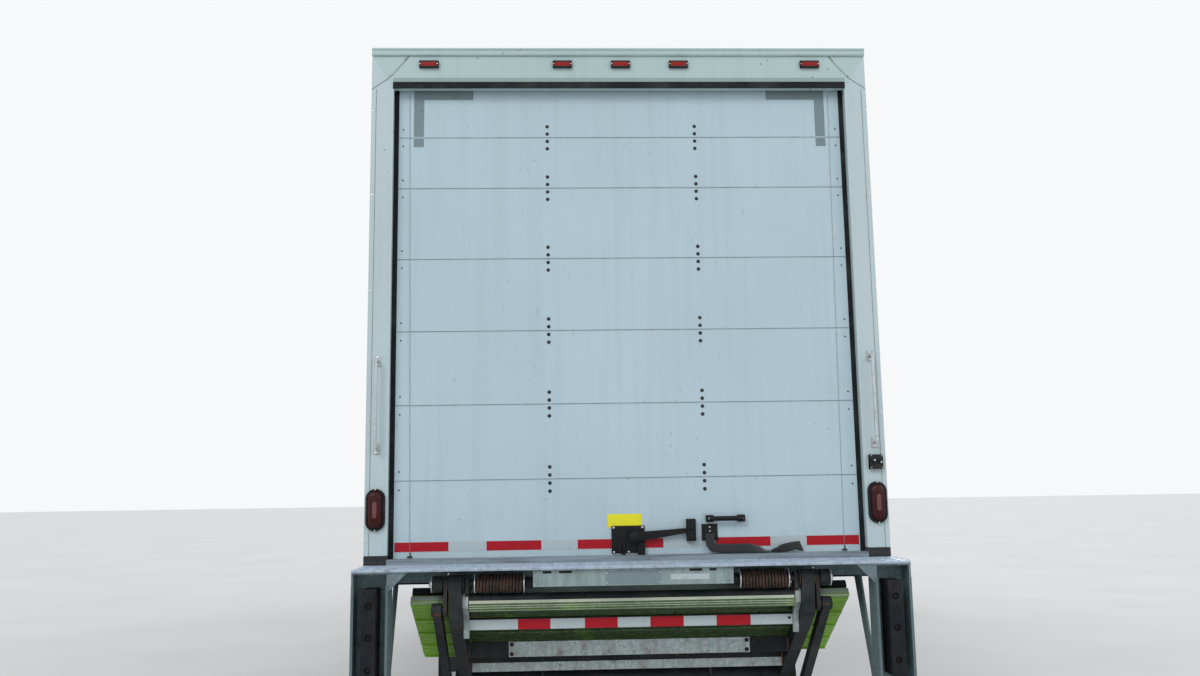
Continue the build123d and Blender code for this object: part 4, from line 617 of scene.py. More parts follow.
def rear_frame_detail():
    trim = Piece("header_trim", header_white, slot="body_white")
    trim.box(about(0, half_body), behind(0.016, 0.004), (top_z - 0.010, top_z))
    trim.box(about(0, half_body - 0.004), behind(0.010, 0.004), (top_z - 0.038, top_z - 0.030))
    seam_x, seam_z = 1.203, 3.732
    for side in (-1, 1):
        trim.use(header_shade)
        for end_x, end_z in ((1.104, 3.846), (half_body - 0.002, 3.668)):
            trim.tube([(side * (seam_x + (end_x - seam_x) * share), rear_y - 0.0012,
                        seam_z + (end_z - seam_z) * share)
                       for share in (0, 0.25, 0.5, 0.75, 1)], 0.0025, 6)
        trim.use(rusty_steel)
        for x, z, far_x, far_z, radius in ((seam_x, 3.734, 1.200, 3.741, 0.0032),
                                           (1.128, 3.822, 1.106, 3.846, 0.0030)):
            trim.tube([(side * x, rear_y - 0.0010, z), (side * far_x, rear_y - 0.0012, far_z)], radius, 6)
    header_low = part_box("rear_header")[0][2]
    trim.use(header_shade)
    trim.box(about(0, opening_half), behind(0.0015, 0.002), (header_low + 0.036, header_low + 0.059))
    trim.done(0.001)
    seal = Piece("header_seal", black_rubber, slot="black_rubber")
    seal.box(about(0, opening_half), behind(0.0040, 0.002), (header_low + 0.0005, header_low + 0.036))
    seal.done(0.001)

    for name, base, glass, slot, y, way in (
        ("marker_lamps", lens_dark_red, lens_red, "lamp_red", rear_y, -1),
        ("front_marker_lamps", black_plastic, lens_amber, None, front_y, 1),
    ):
        lamps = Piece(name, glass, slot=slot)
        for x in (-1.0, -0.305, 0.0, 0.305, 1.0):
            lamps.use(base).box(about(x, 0.050), (y, y + way * 0.009), about(3.800, 0.0185))
            for end in (-1, 1):
                lamps.use(base).box((x + end * 0.040, x + end * 0.050), (y, y + way * 0.0165),
                                    about(3.800, 0.017))
                lamps.use(bright_zinc).rivet((x + end * 0.045, y + way * 0.0165, 3.800), (0, way, 0), 0.0035)
            crown = ((0, -0.0165), (0.0155, -0.013), (0.018, 0), (0.0155, 0.013), (0, 0.0165))
            lamps.use(glass).prism([(y + way * proud, 3.800 + lift) for proud, lift in crown], 0,
                                   *about(x, 0.0395))
        lamps.done(0.0015)

    tails = Piece("tail_lamps", black_rubber, slot="lamp_red")

    def ovals(straight, *rows):
        """Upright ovals with straight sides, each from its width and how far it stands out."""
        rings = []
        for width, proud in rows:
            rings.append([(post_mid_x + across, rear_y - proud, 1.510 + lift + math.copysign(straight, lift))
                          for across, lift in circle(40, width / 2, 0.5)])
        tails.rings(rings)

    ovals(0.055, (0.092, 0), (0.0955, 0.010), (0.089, 0.018), (0.074, 0.018), (0.072, 0.008))
    tails.use(lens_dark_red)
    ovals(0.055, (0.0715, 0.010), (0.070, 0.020), (0.058, 0.028), (0.034, 0.033))
    tails.use(lens_core)
    ovals(0.030, (0.022, 0.0325), (0.020, 0.0345), (0.010, 0.0355))
    tails.use(bright_zinc)
    for z in (1.6085, 1.4115):
        tails.rivet((post_mid_x, rear_y - 0.018, z), back, 0.0040)
    tails.both_sides().done()

    switches = Piece("liftgate_switches", black_plastic, slot="black_plastic")
    switches.box(about(post_mid_x, 0.033), behind(0.022), (1.674, 1.746))
    switches.box(about(post_mid_x, 0.029), behind(0.026, -0.020), (1.678, 1.742))
    for x, lean in ((1.224, 0.28), (1.257, -0.28)):
        switches.use(black_rubber)
        switches.lathe([(0, 0.011), (0.006, 0.011), (0.012, 0.006)], (x, rear_y - 0.025, 1.712), back, 20)
        switches.use(bright_zinc).lathe([(0, 0.0035), (0.016, 0.0035), (0.020, 0.005), (0.024, 0.003)],
                                        (x, rear_y - 0.032, 1.712), (0, -0.96, lean), 14)
    for x, z in product((1.2135, 1.2675), (1.680, 1.740)):
        switches.rivet((x, rear_y - 0.026, z), back, 0.003)
    switches.done(0.002)

    screws = Piece("handle_screws", bright_zinc, slot="galvanised")
    for z in (1.789, 1.825, 2.225, 2.261):
        screws.rivet((post_mid_x, rear_y - 0.005, z), back, 0.0065)
    for z in (1.36, 1.95, 2.60, 3.10, 3.55):
        screws.rivet((half_body - 0.012, rear_y, z), back, 0.005)
    screws.both_sides().done()

    posts = Piece("post_returns", body_white, slot="body_white")
    post_z = (deck_z + 0.021, 3.668)
    posts.box((opening_half - 0.004, opening_half + 0.012), behind(0.0015, 0.02), post_z)
    posts.use(joint_grey).box((half_body - 0.026, half_body - 0.0235), behind(0.0012), post_z)
    posts.both_sides().done(0.001)


rear_frame_detail()


# Roll-up door: panel joints, hinge bolts, cable lines, tapes, latch and strap
def door_detail():
    face = door_face_y
    half_panel, cable_x = 1.158, 1.079

    def on_door(proud, sunk=0.0):
        return face - proud, face + sunk

    seams = Piece("door_joints", joint_grey, slot="door_white")
    for z in door_joints:
        seams.box(about(0, half_panel), on_door(0.0008, 0.001), about(z, 0.0014))
    for x in (-cable_x, cable_x):
        seams.use(zinc_dull).tube([(x, face - 0.0026, 1.292), (x * 1.0245, face - 0.0026, 3.655)], 0.0010, 6)
        seams.use(latch_black).box(about(x, 0.013), on_door(0.006), (1.2755, 1.2815))
        seams.tube([(x, face - 0.004, 1.300), (x + 0.003, face - 0.006, 1.292), (x, face - 0.006, 1.281)],
                   0.0026, 6)
    seams.done()

    edges = Piece("door_panel_edges", door_white, slot="door_white")
    for z in door_joints:
        edges.box(about(0, half_panel), on_door(0.0014, 0.001), (z + 0.0016, z + 0.0055))
        edges.box(about(0, half_panel), on_door(0.0010, 0.001), (z - 0.0045, z - 0.0016))
    edges.done(0.0006)

    bolts = Piece("door_bolts", door_bolt, slot="galvanised")
    head = ((0, 0.0095), (0.0014, 0.0092), (0.0034, 0.0060), (0.0040, 0.0020))
    for z, x, lift in product(door_joints, (-0.388, 0.388), (-0.060, -0.020, 0.020, 0.060)):
        bolts.lathe(head, (x, face, z + lift), back, 14)
    for z, x, lift in product(door_joints, (-1.137, 1.137), (-0.045, 0.045)):
        bolts.rivet((x, face, z + lift), back, 0.0045)
    bolts.done()

    stripes = Piece("door_tapes", tape_white, slot="door_white")
    stripes.box(about(0, half_panel), on_door(0.0009), (1.301, 1.351))
    for low, high in ((-1.155, -0.890), (-0.703, -0.433), (-0.253, 0.173), (0.434, 0.709), (0.891, 1.155)):
        stripes.use(tape_red).box((low, high), on_door(0.0013), (1.3032, 1.3488))
    stripes.use(tape_grey)
    for side in (-1, 1):
        stripes.box((side * 0.774, side * 1.083), on_door(0.0009), (3.629, 3.679))
        stripes.box((side * 1.031, side * 1.083), on_door(0.0009), (3.373, 3.629))
    stripes.done()
    label = Piece("blank_label", label_yellow, slot="door_white")
    label.box((-0.103, 0.066), on_door(0.0012), (1.405, 1.471)).done(0.0004)

    latch = Piece("latch_detail", latch_black, slot="black_steel")
    latch.lathe([(0, 0.024), (0.010, 0.024), (0.014, 0.018)], (0.026, face - 0.034, 1.358), back, 28)
    latch.bolt((0.026, face - 0.047, 1.358), back)
    latch.box((0.292, 0.328), on_door(0.042, -0.030), (1.345, 1.433))
    latch.lathe([(0, 0.012), (0.012, 0.010)], (0.310, face - 0.042, 1.400), back, 20)
    latch.box((-0.060, -0.020), on_door(0.022, -0.008), (1.300, 1.340))
    latch.tube([(-0.045, face - 0.024, 1.335), (-0.050, face - 0.040, 1.315), (-0.045, face - 0.040, 1.285),
                (-0.020, face - 0.030, 1.276)], 0.006, 10)
    latch.use(bright_zinc)
    big, middling, small = ((0, 0.0062), (0.004, 0.0056), (0.006, 0.003)), (0.0075, 0.0065), (0.0065, 0.0055)
    for x, z in ((-0.074, 1.285), (0.000, 1.285), (-0.074, 1.404), (0.069, 1.404)):
        latch.lathe(big, (x, face - 0.008, z), back, 12)
    for (low, high), x, proud, z in ((middling, 0.403, 0.036, 1.442), (middling, 0.564, 0.036, 1.442),
                                     (small, 0.405, 0.008, 1.400), (small, 0.405, 0.008, 1.380)):
        latch.lathe([(0, low), (0.003, high), (0.005, 0.003)], (x, face - proud, z), back, 12)
    latch.done(0.0015)


def webbing_strap():
    """The pull strap as a thin flat sheet, hung from its bracket and laid in waves along the sill."""
    half_width = 0.0225
    # The strap's middle, and the direction of its width there
    run = (
        (0.404, -5.1945, 1.368, 1, 0, 0), (0.402, -5.202, 1.340, 1, 0, 0.05),
        (0.404, -5.206, 1.318, 0.9, 0, 0.4), (0.422, -5.208, 1.300, 0.5, 0.05, 0.85),
        (0.470, -5.210, 1.2945, 0.1, 0.08, 1), (0.530, -5.211, 1.2955, 0, 0.05, 1),
        (0.590, -5.210, 1.2955, 0, 0.12, 1), (0.640, -5.209, 1.2890, 0, 0.65, 0.76),
        (0.683, -5.209, 1.2790, 0, 1, 0.18), (0.724, -5.209, 1.2820, 0, 0.86, -0.5),
        (0.764, -5.211, 1.2910, 0, 0.3, -0.95), (0.806, -5.212, 1.3000, -0.22, 0.05, -0.95),
        (0.836, -5.213, 1.3055, -0.42, 0, -0.90), (0.862, -5.212, 1.2970, 0.40, 0, -0.90),
    )
    steps = 8
    lines = []
    for near, far in zip(run, run[1:]):
        for step in range(steps):
            share = step / steps
            ease = share * share * (3 - 2 * share)
            place = Vector(near[:3]).lerp(Vector(far[:3]), share)
            width = Vector(near[3:]).lerp(Vector(far[3:]), ease).normalized() * half_width
            lines.append([place + width * across for across in (-1, -0.5, 0, 0.5, 1)])
    corners = [corner for line in lines for corner in line]
    faces = [(near, near + 1, near + 6, near + 5) for near in range(len(corners) - 5) if near % 5 < 4]
    strap = Piece("pull_strap_webbing", webbing, slot="webbing").add(corners, faces)
    strap = strap.done(replaces=["pull_strap"])
    strap.modifiers.new("thickness", "SOLIDIFY").thickness = 0.0022


door_detail()
webbing_strap()


# Dock plate with its tread, legs and bumpers
def dock_blocks():
    """The rubber blocks with their sunk bolts."""
    low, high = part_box("dock_bumpers")
    middle_x, bolt_heights = 1.2105, (1.085, 0.943, 0.800)
    blocks = Piece("dock_bumper_blocks", black_rubber, slot="black_rubber")
    blocks.box((2 * middle_x - high[0], high[0]), (low[1], high[1]), (low[2], high[2]))
    blocks = blocks.both_sides().done(replaces=["dock_bumpers"])
    holes = Piece("dock_bumper_holes", black_rubber)
    bolts = Piece("dock_bumper_bolts", latch_black, slot="black_steel")
    for z in bolt_heights:
        holes.lathe([(-0.01, 0.0150), (0.016, 0.0150)], (middle_x, low[1], z), ahead, 28)
        bolts.bolt((middle_x, low[1] + 0.0155, z), back, 0.0088)
    holes = holes.both_sides().done()
    cut = blocks.modifiers.new("holes", "BOOLEAN")
    cut.operation, cut.object, cut.solver = "DIFFERENCE", holes, "EXACT"
    freeze(blocks)
    bpy.data.objects.remove(holes)
    blocks.data.set_sharp_from_angle(angle=math.radians(38))
    soften(blocks, 0.004)
    bolts.both_sides().done()


def dock_detail():
    tread = Piece("dock_tread", plate_zinc, slot="galvanised")
    for row, column in product(range(9), range(72)):
        turn = 0.6 if (row + column) % 2 else -0.6
        run = Vector((math.cos(turn), math.sin(turn), 0)) * 0.013
        side = Vector((-math.sin(turn), math.cos(turn), 0)) * 0.0045
        base = Vector((-1.278 + column * 0.036 + (row % 2) * 0.018, -5.513 + row * 0.031, dock_top_z))
        top = base + Vector((0, 0, 0.0022))
        tread.add([base - run, base - side, base + run, base + side, top - run * 0.55, top + run * 0.55],
                  [(0, 1, 5, 4), (1, 2, 5), (2, 3, 4, 5), (3, 0, 4)])
    tread.done()

    edge = Piece("dock_edge", plate_zinc, slot="galvanised")
    edge.box(about(0, half_body), (dock_rear_y - 0.0015, dock_rear_y + 0.004),
             (dock_top_z - 0.006, dock_top_z + 0.001))
    box_y = -5.504
    for paint, x, half, proud, low_z, high_z in (
        (plate_zinc, -0.44, 0.015, 0.005, 1.168, 1.226), (plate_zinc, 0.44, 0.015, 0.005, 1.168, 1.226),
        # Black patches of painted shade where latch slots are cut in the top of the box.
        (latch_black, -0.400, 0.020, 0.0022, 1.214, 1.225),
        (latch_black, -0.315, 0.030, 0.0022, 1.214, 1.225),
        (latch_black, 0.290, 0.030, 0.0022, 1.214, 1.225), (latch_black, 0.370, 0.016, 0.0022, 1.214, 1.225),
        (tape_grey, 0, 0.130, 0.0028, 1.160, 1.217), (tape_white, 0.262, 0.090, 0.0022, 1.176, 1.202),
    ):
        edge.use(paint).box(about(x, half), (box_y - proud, box_y - (0.001 if half == 0.015 else 0)),
                            (low_z, high_z))
    edge.use(bright_zinc)
    for x, z in product((-0.123, 0.123), (1.166, 1.211)):
        edge.rivet((x, -5.5066, z), back, 0.004)
    edge.done(0.001)

    legs = Piece("leg_hardware", zinc_dull, slot="galvanised")
    legs.use(latch_black)
    for z, x in product((0.70, 0.62, 0.52), (1.150, 1.270)):
        legs.bolt((x, dock_rear_y + 0.108, z), back, 0.009)
    legs.use(leg_zinc)
    for low_x in (1.1255, 1.2825):
        legs.box((low_x, low_x + 0.013), (dock_rear_y + 0.004, dock_rear_y + 0.009), (0.455, 1.17))
    for z in (0.470, 0.760, 0.900, 1.150):
        legs.tube([(1.137, dock_rear_y + 0.106, z), (1.284, dock_rear_y + 0.106, z)], 0.003, 6)
    legs.both_sides().done(0.001)


dock_blocks()
dock_detail()


# Liftgate: coil springs, taped cross bar, folded platform, pins and cylinders
def coil_springs():
    springs = Piece("coil_springs", spring_steel, "lift_arms", slot="rusty_steel")
    low_x, high_x, turns, steps = 0.518, 0.732, 14, 22
    count = turns * steps
    coil = [(low_x + (high_x - low_x) * step / count, tip_y + 0.0385 * math.cos(2 * math.pi * step / steps),
             tip_z + 0.0385 * math.sin(2 * math.pi * step / steps)) for step in range(count + 1)]
    springs.tube([(low_x, -5.366, 1.110)] + coil + [(high_x, -5.366, 1.110)], 0.0069)
    springs.use(bright_zinc)
    for x in (0.505, 0.735):
        springs.lathe([(0, 0.0185), (0, 0.045), (0.002, 0.0478), (0.007, 0.0478), (0.009, 0.045),
                       (0.009, 0.0185)],
                      (x, tip_y, tip_z), right, 40, closed=True)
    springs.use(gate_black).collar(0.0185, 0.027, 0, 0.035, (0.468, tip_y, tip_z), right)
    springs.both_sides().done(replaces=["torsion_springs"])


def cross_bar():
    bar_y = -5.323
    bar = Piece("bar_tapes", tape_white, "lift_arms", slot="galvanised")
    ends = (-0.800, -0.543, -0.389, -0.225, -0.068, 0.088, 0.248, 0.406, 0.570, 0.772)
    for index, span in enumerate(zip(ends, ends[1:])):
        bar.use(tape_red if index % 2 else tape_white)
        bar.box(span, (bar_y - 0.0009, bar_y + 0.0005), (0.942, 0.989))
    bar.use(zinc)
    for x in (-0.787, 0.787):
        bar.box(about(x, 0.012), (bar_y - 0.003, bar_y), (0.938, 0.994))
    bar.use(latch_black).lathe([(0, 0.007), (0.0016, 0.007)], (0.757, bar_y - 0.0005, 0.972), back, 18)
    bar.use(gate_black)
    for x in (-0.62, -0.21, 0.21, 0.62):
        bar.box(about(x, 0.004), (bar_y + 0.002, -5.281), (0.9935, 0.9995))
    bar.done(0.0006)

    panels = Piece("cross_panels", zinc_dull, "lift_arms", slot="galvanised")
    panels.box((-0.600, 0.605), (-5.0755, -5.0720), (0.776, 0.850))
    panels.box((-0.798, 0.798), (-4.9260, -4.9235), (0.682, 0.726))
    panels.use(gate_black)
    for x, z in product((-0.585, 0.590), (0.790, 0.836)):
        panels.bolt((x, -5.0755, z), back, 0.007)
    panels.use(rusty_steel)
    for x, (y, middle_z) in product((-0.7975, 0.7975), ((-5.073, 0.812), (-4.925, 0.716))):
        panels.tube([(x, y, middle_z + lift) for lift in (-0.034, 0, 0.034)], 0.004, 6)
    panels.done(0.001)


def platform_detail():
    """Ribs, edges and side plates of the folded platform, laid out in its own sloped side view."""
    slope, edge_y, edge_z = math.radians(31.5), -5.303, 1.105
    across, tall = math.cos(slope), math.sin(slope)
    under = -0.042

    def at(along, lift):
        """A point of the side view, from the rear edge and the deck's plane."""
        return edge_y + across * along + tall * lift, edge_z - tall * along + across * lift

    def bar(piece, along, far, low, high, *span):
        """A square bar across the platform, or between two places."""
        outline = [at(along, low), at(far, low), at(far, high), at(along, high)]
        piece.prism(outline, 0, *(span or (-half_rib, half_rib)))

    half_rib = 1.050
    ribs = Piece("platform_ribs", bright_edge, "lift_arms", slot="aluminium_sheet")
    bar(ribs, -0.016, -0.006, under - 0.001, under + 0.004)
    for low, high in ((0.05, 0.12), (0.28, 0.98)):
        ribs.prism([(y + 0.0160 * share, z + 0.0260 * share) for y, z, share in
                    ((-5.3375, 1.0785, low), (-5.3375, 1.0785, high), (-5.3335, 1.0765, high),
                     (-5.3335, 1.0765, low))],
                   0, -half_rib, half_rib)
    bar(ribs, 0.008, 0.014, under - 0.0022, under + 0.0014)
    bar(ribs, 0.034, 0.041, under - 0.0026, under + 0.0014)
    ribs.use(grass_reflection_green)
    for step in range(24):
        bar(ribs, 0.022 + step * 0.0250, 0.026 + step * 0.0250, under - 0.0022, under + 0.0010)
    for along in (0.020, 0.170, 0.320, 0.470, 0.604):
        bar(ribs, along, along + 0.008, under - 0.0090, under + 0.0005)
    ribs.done(0.0006)

    ramp = Piece("platform_ramp_edge", grass_reflection_green, "lift_arms", slot="aluminium_sheet")
    ramp_y = -5.3995
    ramp.prism([(-5.380, 1.0905), (-5.394, 1.0890), (ramp_y, 1.0835), (ramp_y, 1.0400), (-5.3940, 1.0340),
                (-5.380, 1.0330)], 0, -0.770, 0.770)
    ramp.use(bright_edge)
    for low, high, proud in ((1.0720, 1.0860, 0.0014), (1.0600, 1.0632, 0.0010), (1.0505, 1.0532, 0.0010),
                             (1.0385, 1.0405, 0.0006)):
        ramp.box(about(0, 0.769), (ramp_y - proud, ramp_y + 0.001), (low, high))
    ramp.done(0.0008)

    deck = Piece("platform_flip_edges", grass_reflection_green, "lift_arms", slot="aluminium_sheet")
    for step in range(25):
        along = 0.030 + step * 0.0245
        deck.prism([at(along + run, lift) for run, lift in
                    ((0, 0.0415), (0.006, 0.0415), (0.005, 0.0440), (0.001, 0.0440))], 0, -1.036, 1.036)
    deck.use(bright_edge)
    deck.prism([at(0.015, 0.001), at(0.019, 0.001), at(0.019, 0.043), at(0.015, 0.040)], 0, -1.038, 1.038)
    hinge_y, hinge_z = at(0.628, 0.0)
    for side in (-1, 1):
        deck.use(zinc_dull)
        bar(deck, 0, 0.615, under, -0.003, side * 1.0495, side * 1.0535)
        bar(deck, 0.020, 0.638, 0.003, 0.041, side * 1.0375, side * 1.0415)
        deck.use(gate_black)
        deck.prism([at(along, lift) for along, lift in
                    ((-0.010, 0.004), (0.055, 0.004), (0.055, 0.046), (0.020, 0.050), (-0.006, 0.036))],
                   0, side * 0.900, side * 1.047)
        for along in (0.500, 0.590):
            deck.bolt((side * 1.0535, *at(along, -0.021)), (side, 0, 0), 0.008)
        for low, high in ((0.60, 0.80), (0.88, 1.02)):
            deck.rod((side * low, hinge_y, hinge_z), (side * high, hinge_y, hinge_z), 0.016, 18)
    deck.done(0.001)


def arm_hardware():
    """Pins, washers, nipples and bolts of the arms, links, frame and cylinders."""
    link_y, link_z = -4.775, 0.500
    eye, base = Vector((0.745, -4.825, 0.516)), Vector((0.745, -4.145, 0.530))

    arms = Piece("arm_hardware", zinc_dull, "lift_arms", slot="galvanised")
    arms.prism([(-5.362, 1.150), (-5.342, 1.150), (-5.330, 1.100), (-5.3235, 1.000), (-5.315, 0.905),
                (-5.332, 0.905), (-5.350, 1.000), (-5.404, 1.052), (-5.407, 1.100), (-5.390, 1.132)], 0,
                0.772, 0.799)
    arms.use(bright_zinc)
    arms.lathe([(0, 0.036), (0.001, 0.040), (0.007, 0.040), (0.008, 0.036)], (0.9370, tip_y, tip_z), right)
    arms.bolt((0.945, tip_y, tip_z), right, 0.014)
    arms.use(gate_black)
    for x, outer, length, steps in ((0.8905, 0.038, 0.045, 30), (0.789, 0.042, 0.006, 28),
                                    (0.860, 0.042, 0.006, 28)):
        arms.collar(0.030, outer, 0, length, (x, tip_y, tip_z), right, steps)
    for share in (0.12, 0.30, 0.66, 0.86):
        arms.bolt((0.860, -5.385 + (pivot_y + 5.385) * share, 1.020 + (pivot_z - 1.020) * share), right)
    arms.lathe([(0, 0.046), (0, 0.066), (0.004, 0.0675), (0.008, 0.066), (0.008, 0.046)],
               (0.8595, pivot_y, pivot_z), right, 36, closed=True)
    arms.use(bright_zinc).rod((0.866, -5.395, 1.202), (0.866, -5.395, 1.216), 0.004, 8)
    arms.rod((0.835, pivot_y, 0.686), (0.835, pivot_y, 0.700), 0.004, 8)
    arms.use(spring_steel)
    for x, out in ((0.7053, -1), (0.7847, 1)):
        arms.lathe([(0, 0.024), (0.005, 0.024), (0.007, 0.020)], (x, eye.y, eye.z), (out, 0, 0), 22)
    arms.both_sides().done(0.0012)

    links = Piece("link_pins", gate_black, "parallel_links", slot="black_steel")
    for y, z in ((link_y, link_z), (-5.410, 1.046)):
        links.lathe([(0, 0.0195), (0, 0.029), (0.003, 0.031), (0.006, 0.029), (0.006, 0.0195)],
                    (0.9348, y, z), right, 28, closed=True)
    links.use(zinc_dull)
    for share in (0.25, 0.75):
        links.bolt((0.935, link_y - 0.635 * share, link_z + 0.546 * share), right, 0.007)
    links.both_sides().done(0.0008)

    fixed = Piece("gate_frame_hardware", gate_black, slot="black_steel")
    for y, z in (*product((-4.520, -4.300), (0.905, 0.985)), (-4.130, 0.905), (-4.130, 0.965)):
        fixed.bolt((0.4465, y, z), right, 0.011)
    fixed.lathe([(0, 0.045), (0.003, 0.047), (0.006, 0.045)], (0.886, pivot_y, pivot_z), right, 30)
    fixed.lathe([(0, 0.020), (0.006, 0.020), (0.008, 0.016)], (0.935, link_y, link_z), right, 24)
    fixed.lathe([(0, 0.023), (0.006, 0.023), (0.009, 0.019)], (0.777, base.y, base.z), right, 26)
    fixed.both_sides().done(0.001)

    barrels = Piece("lift_barrel_fittings", gate_black, "lift_barrels", slot="black_steel")
    way = (eye - base).normalized()
    barrels.lathe([(0, 0.0176), (0, 0.037), (0.003, 0.039), (0.009, 0.039), (0.012, 0.036), (0.012, 0.0176)],
                  base + way * 0.4505, way, closed=True)
    barrels.lathe([(0, 0.020), (0.006, 0.036), (0.018, 0.0365), (0.022, 0.034)], base + way * 0.036, way)
    barrels.use(bright_zinc)
    for along in (0.075, 0.435):
        port = base + way * along
        barrels.rod(port + Vector((0, 0, 0.030)), port + Vector((0, 0, 0.048)), 0.011, 6)
        barrels.rod(port + Vector((0, 0, 0.048)), port + Vector((0, 0, 0.060)), 0.008, 16)
    barrels.both_sides().done(0.0008)

    rods = Piece("lift_rod_eyes", gate_black, "lift_rods", slot="black_steel")
    for x in (0.7275, 0.7615):
        rods.collar(0.014, 0.0305, 0, 0.0012, (x, eye.y, eye.z), right)
    rods.both_sides().done()


coil_springs()
cross_bar()
platform_detail()
arm_hardware()


# Wheels
def treaded_tyre(piece, x, y):
    """A tyre with a bulged side wall, five ribs of blocks and sipes cut between them."""
    wall = [
        (0.104, 0.2865), (0.112, 0.300), (0.116, 0.316), (0.1235, 0.325), (0.1265, 0.334), (0.132, 0.355),
        (0.1375, 0.385), (0.1390, 0.398), (0.1405, 0.400), (0.1400, 0.420), (0.1385, 0.440), (0.1385, 0.443),
        (0.1345, 0.466), (0.1300, 0.478), (0.1270, 0.494), (0.1215, 0.5075), (0.114, 0.5075),
    ]
    piece.lathe(wall + [(-along, radius) for along, radius in reversed(wall)], (x, y, axle_z), right, 112,
                closed=True)
    count = 54
    half_tread = 0.12
    width = 2 * math.pi / count * 0.90
    faces = ((1, 3, 9, 7), (3, 5, 11, 9), (0, 2, 3, 1), (2, 4, 5, 3), (6, 7, 9, 8), (8, 9, 11, 10),
             (0, 1, 7, 6), (4, 10, 11, 5))
    ribs = ((-0.121, -0.082), (-0.072, -0.034), (-0.025, 0.025), (0.034, 0.072), (0.082, 0.121))
    for row, (low, high) in enumerate(ribs):
        skew = 0.010 if row in (1, 3) else 0.0
        for index in range(count):
            start = 2 * math.pi * (index + 0.5 * (row % 2)) / count
            corners = []
            for along, turn in ((low, start), (high, start + skew)):
                outermost = max(abs(low), abs(high)) if abs(along) > 0.07 else abs(along)
                for angle, radius in product((turn, turn + width / 2, turn + width),
                                             (0.506, 0.5245 - 0.0065 * outermost / half_tread)):
                    corners.append((x + along, y + radius * math.cos(angle),
                                    axle_z + radius * math.sin(angle)))
            piece.add(corners, faces)


def wheels():
    nut = ((0, 1.35), (0.25, 1.35), (0.25, 1), (1.3, 1), (1.5, 0.8), (1.5, 0.45), (2.3, 0.42))
    for side, word in sides:
        out = (side, 0, 0)

        def ring_of(piece, kind, x, y, count, radius, size, shift=0.0):
            """Nuts or bolts on a circle about the axle."""
            for across, lift in circle(count, radius, shift):
                place = (side * x, y + across, axle_z + lift)
                if kind == "nut":
                    piece.lathe([(size * along, size * wide) for along, wide in nut], place, out, 6)
                else:
                    piece.bolt(place, out, size)

        front = Piece("front_tyre_" + word, tyre_black, "wheel_front_" + word, slot="tyre_black")
        treaded_tyre(front, side * 1.020, front_axle_y)
        front.done(replaces=["tyre_front_" + word])
        rear = Piece("rear_tyres_" + word, tyre_black, "wheels_rear_" + word, slot="tyre_black")
        for x in (0.750, 1.080):
            treaded_tyre(rear, side * x, rear_axle_y)
        rear.done(replaces=["tyres_rear_" + word])

        hub = Piece("front_hub_" + word, wheel_white, "wheel_front_" + word, slot="wheel_white")
        ring_of(hub.use(rusty_steel), "nut", 1.138, front_axle_y, 10, 0.1675, 0.0155, 0.5)
        ring_of(hub, "bolt", 1.178, front_axle_y, 6, 0.107, 0.006, 0.25)
        hub.use(polished_cap)
        cap = ((0, 0.1125), (0, 0.118), (0.008, 0.118), (0.010, 0.114), (0.012, 0.098), (0.030, 0.092),
               (0.036, 0.086), (0.038, 0.062), (0.037, 0.020))
        hub.lathe(cap, (side * 1.170, front_axle_y, axle_z), out, 48)
        hub.use(black_rubber)
        hub.lathe([(0, 0.016), (0.004, 0.014)], (side * 1.2075, front_axle_y, axle_z), out, 24)
        for x in (0.898, 1.142):
            hub.use(wheel_white)
            hub.collar(0.2925, 0.302, -0.002, 0.003, (side * x, front_axle_y, axle_z), out, 72)
        hub.use(bright_zinc)
        hub.tube([(side * x, front_axle_y + y, axle_z + z) for x, y, z in
                  ((1.116, 0.196, 0.10), (1.140, 0.200, 0.104), (1.152, 0.188, 0.096))], 0.005)
        hub.done(0.0006)

        hub = Piece("rear_hub_" + word, wheel_white, "wheels_rear_" + word, slot="wheel_white")
        hub.lathe([(0, 0.094), (0.006, 0.098), (0.014, 0.098), (0.018, 0.094), (0.019, 0.060), (0.026, 0.054),
                   (0.030, 0.030)], (side * 1.051, rear_axle_y, axle_z), out, 44)
        ring_of(hub.use(rusty_steel), "nut", 0.927, rear_axle_y, 10, 0.171, 0.0150, 0.5)
        ring_of(hub, "bolt", 1.069, rear_axle_y, 8, 0.077, 0.009)
        hub.use(bright_zinc)
        for angle in (0.7, 3.84):
            across, lift = math.cos(angle), math.sin(angle)
            hub.tube([(side * x, rear_axle_y + reach * across + shift, axle_z + reach * lift)
                      for x, reach, shift in
                      ((0.935, 0.215, 0.004), (0.960, 0.215, 0), (1.020, 0.195, 0))], 0.0045)
        hub.done(0.0006)


wheels()


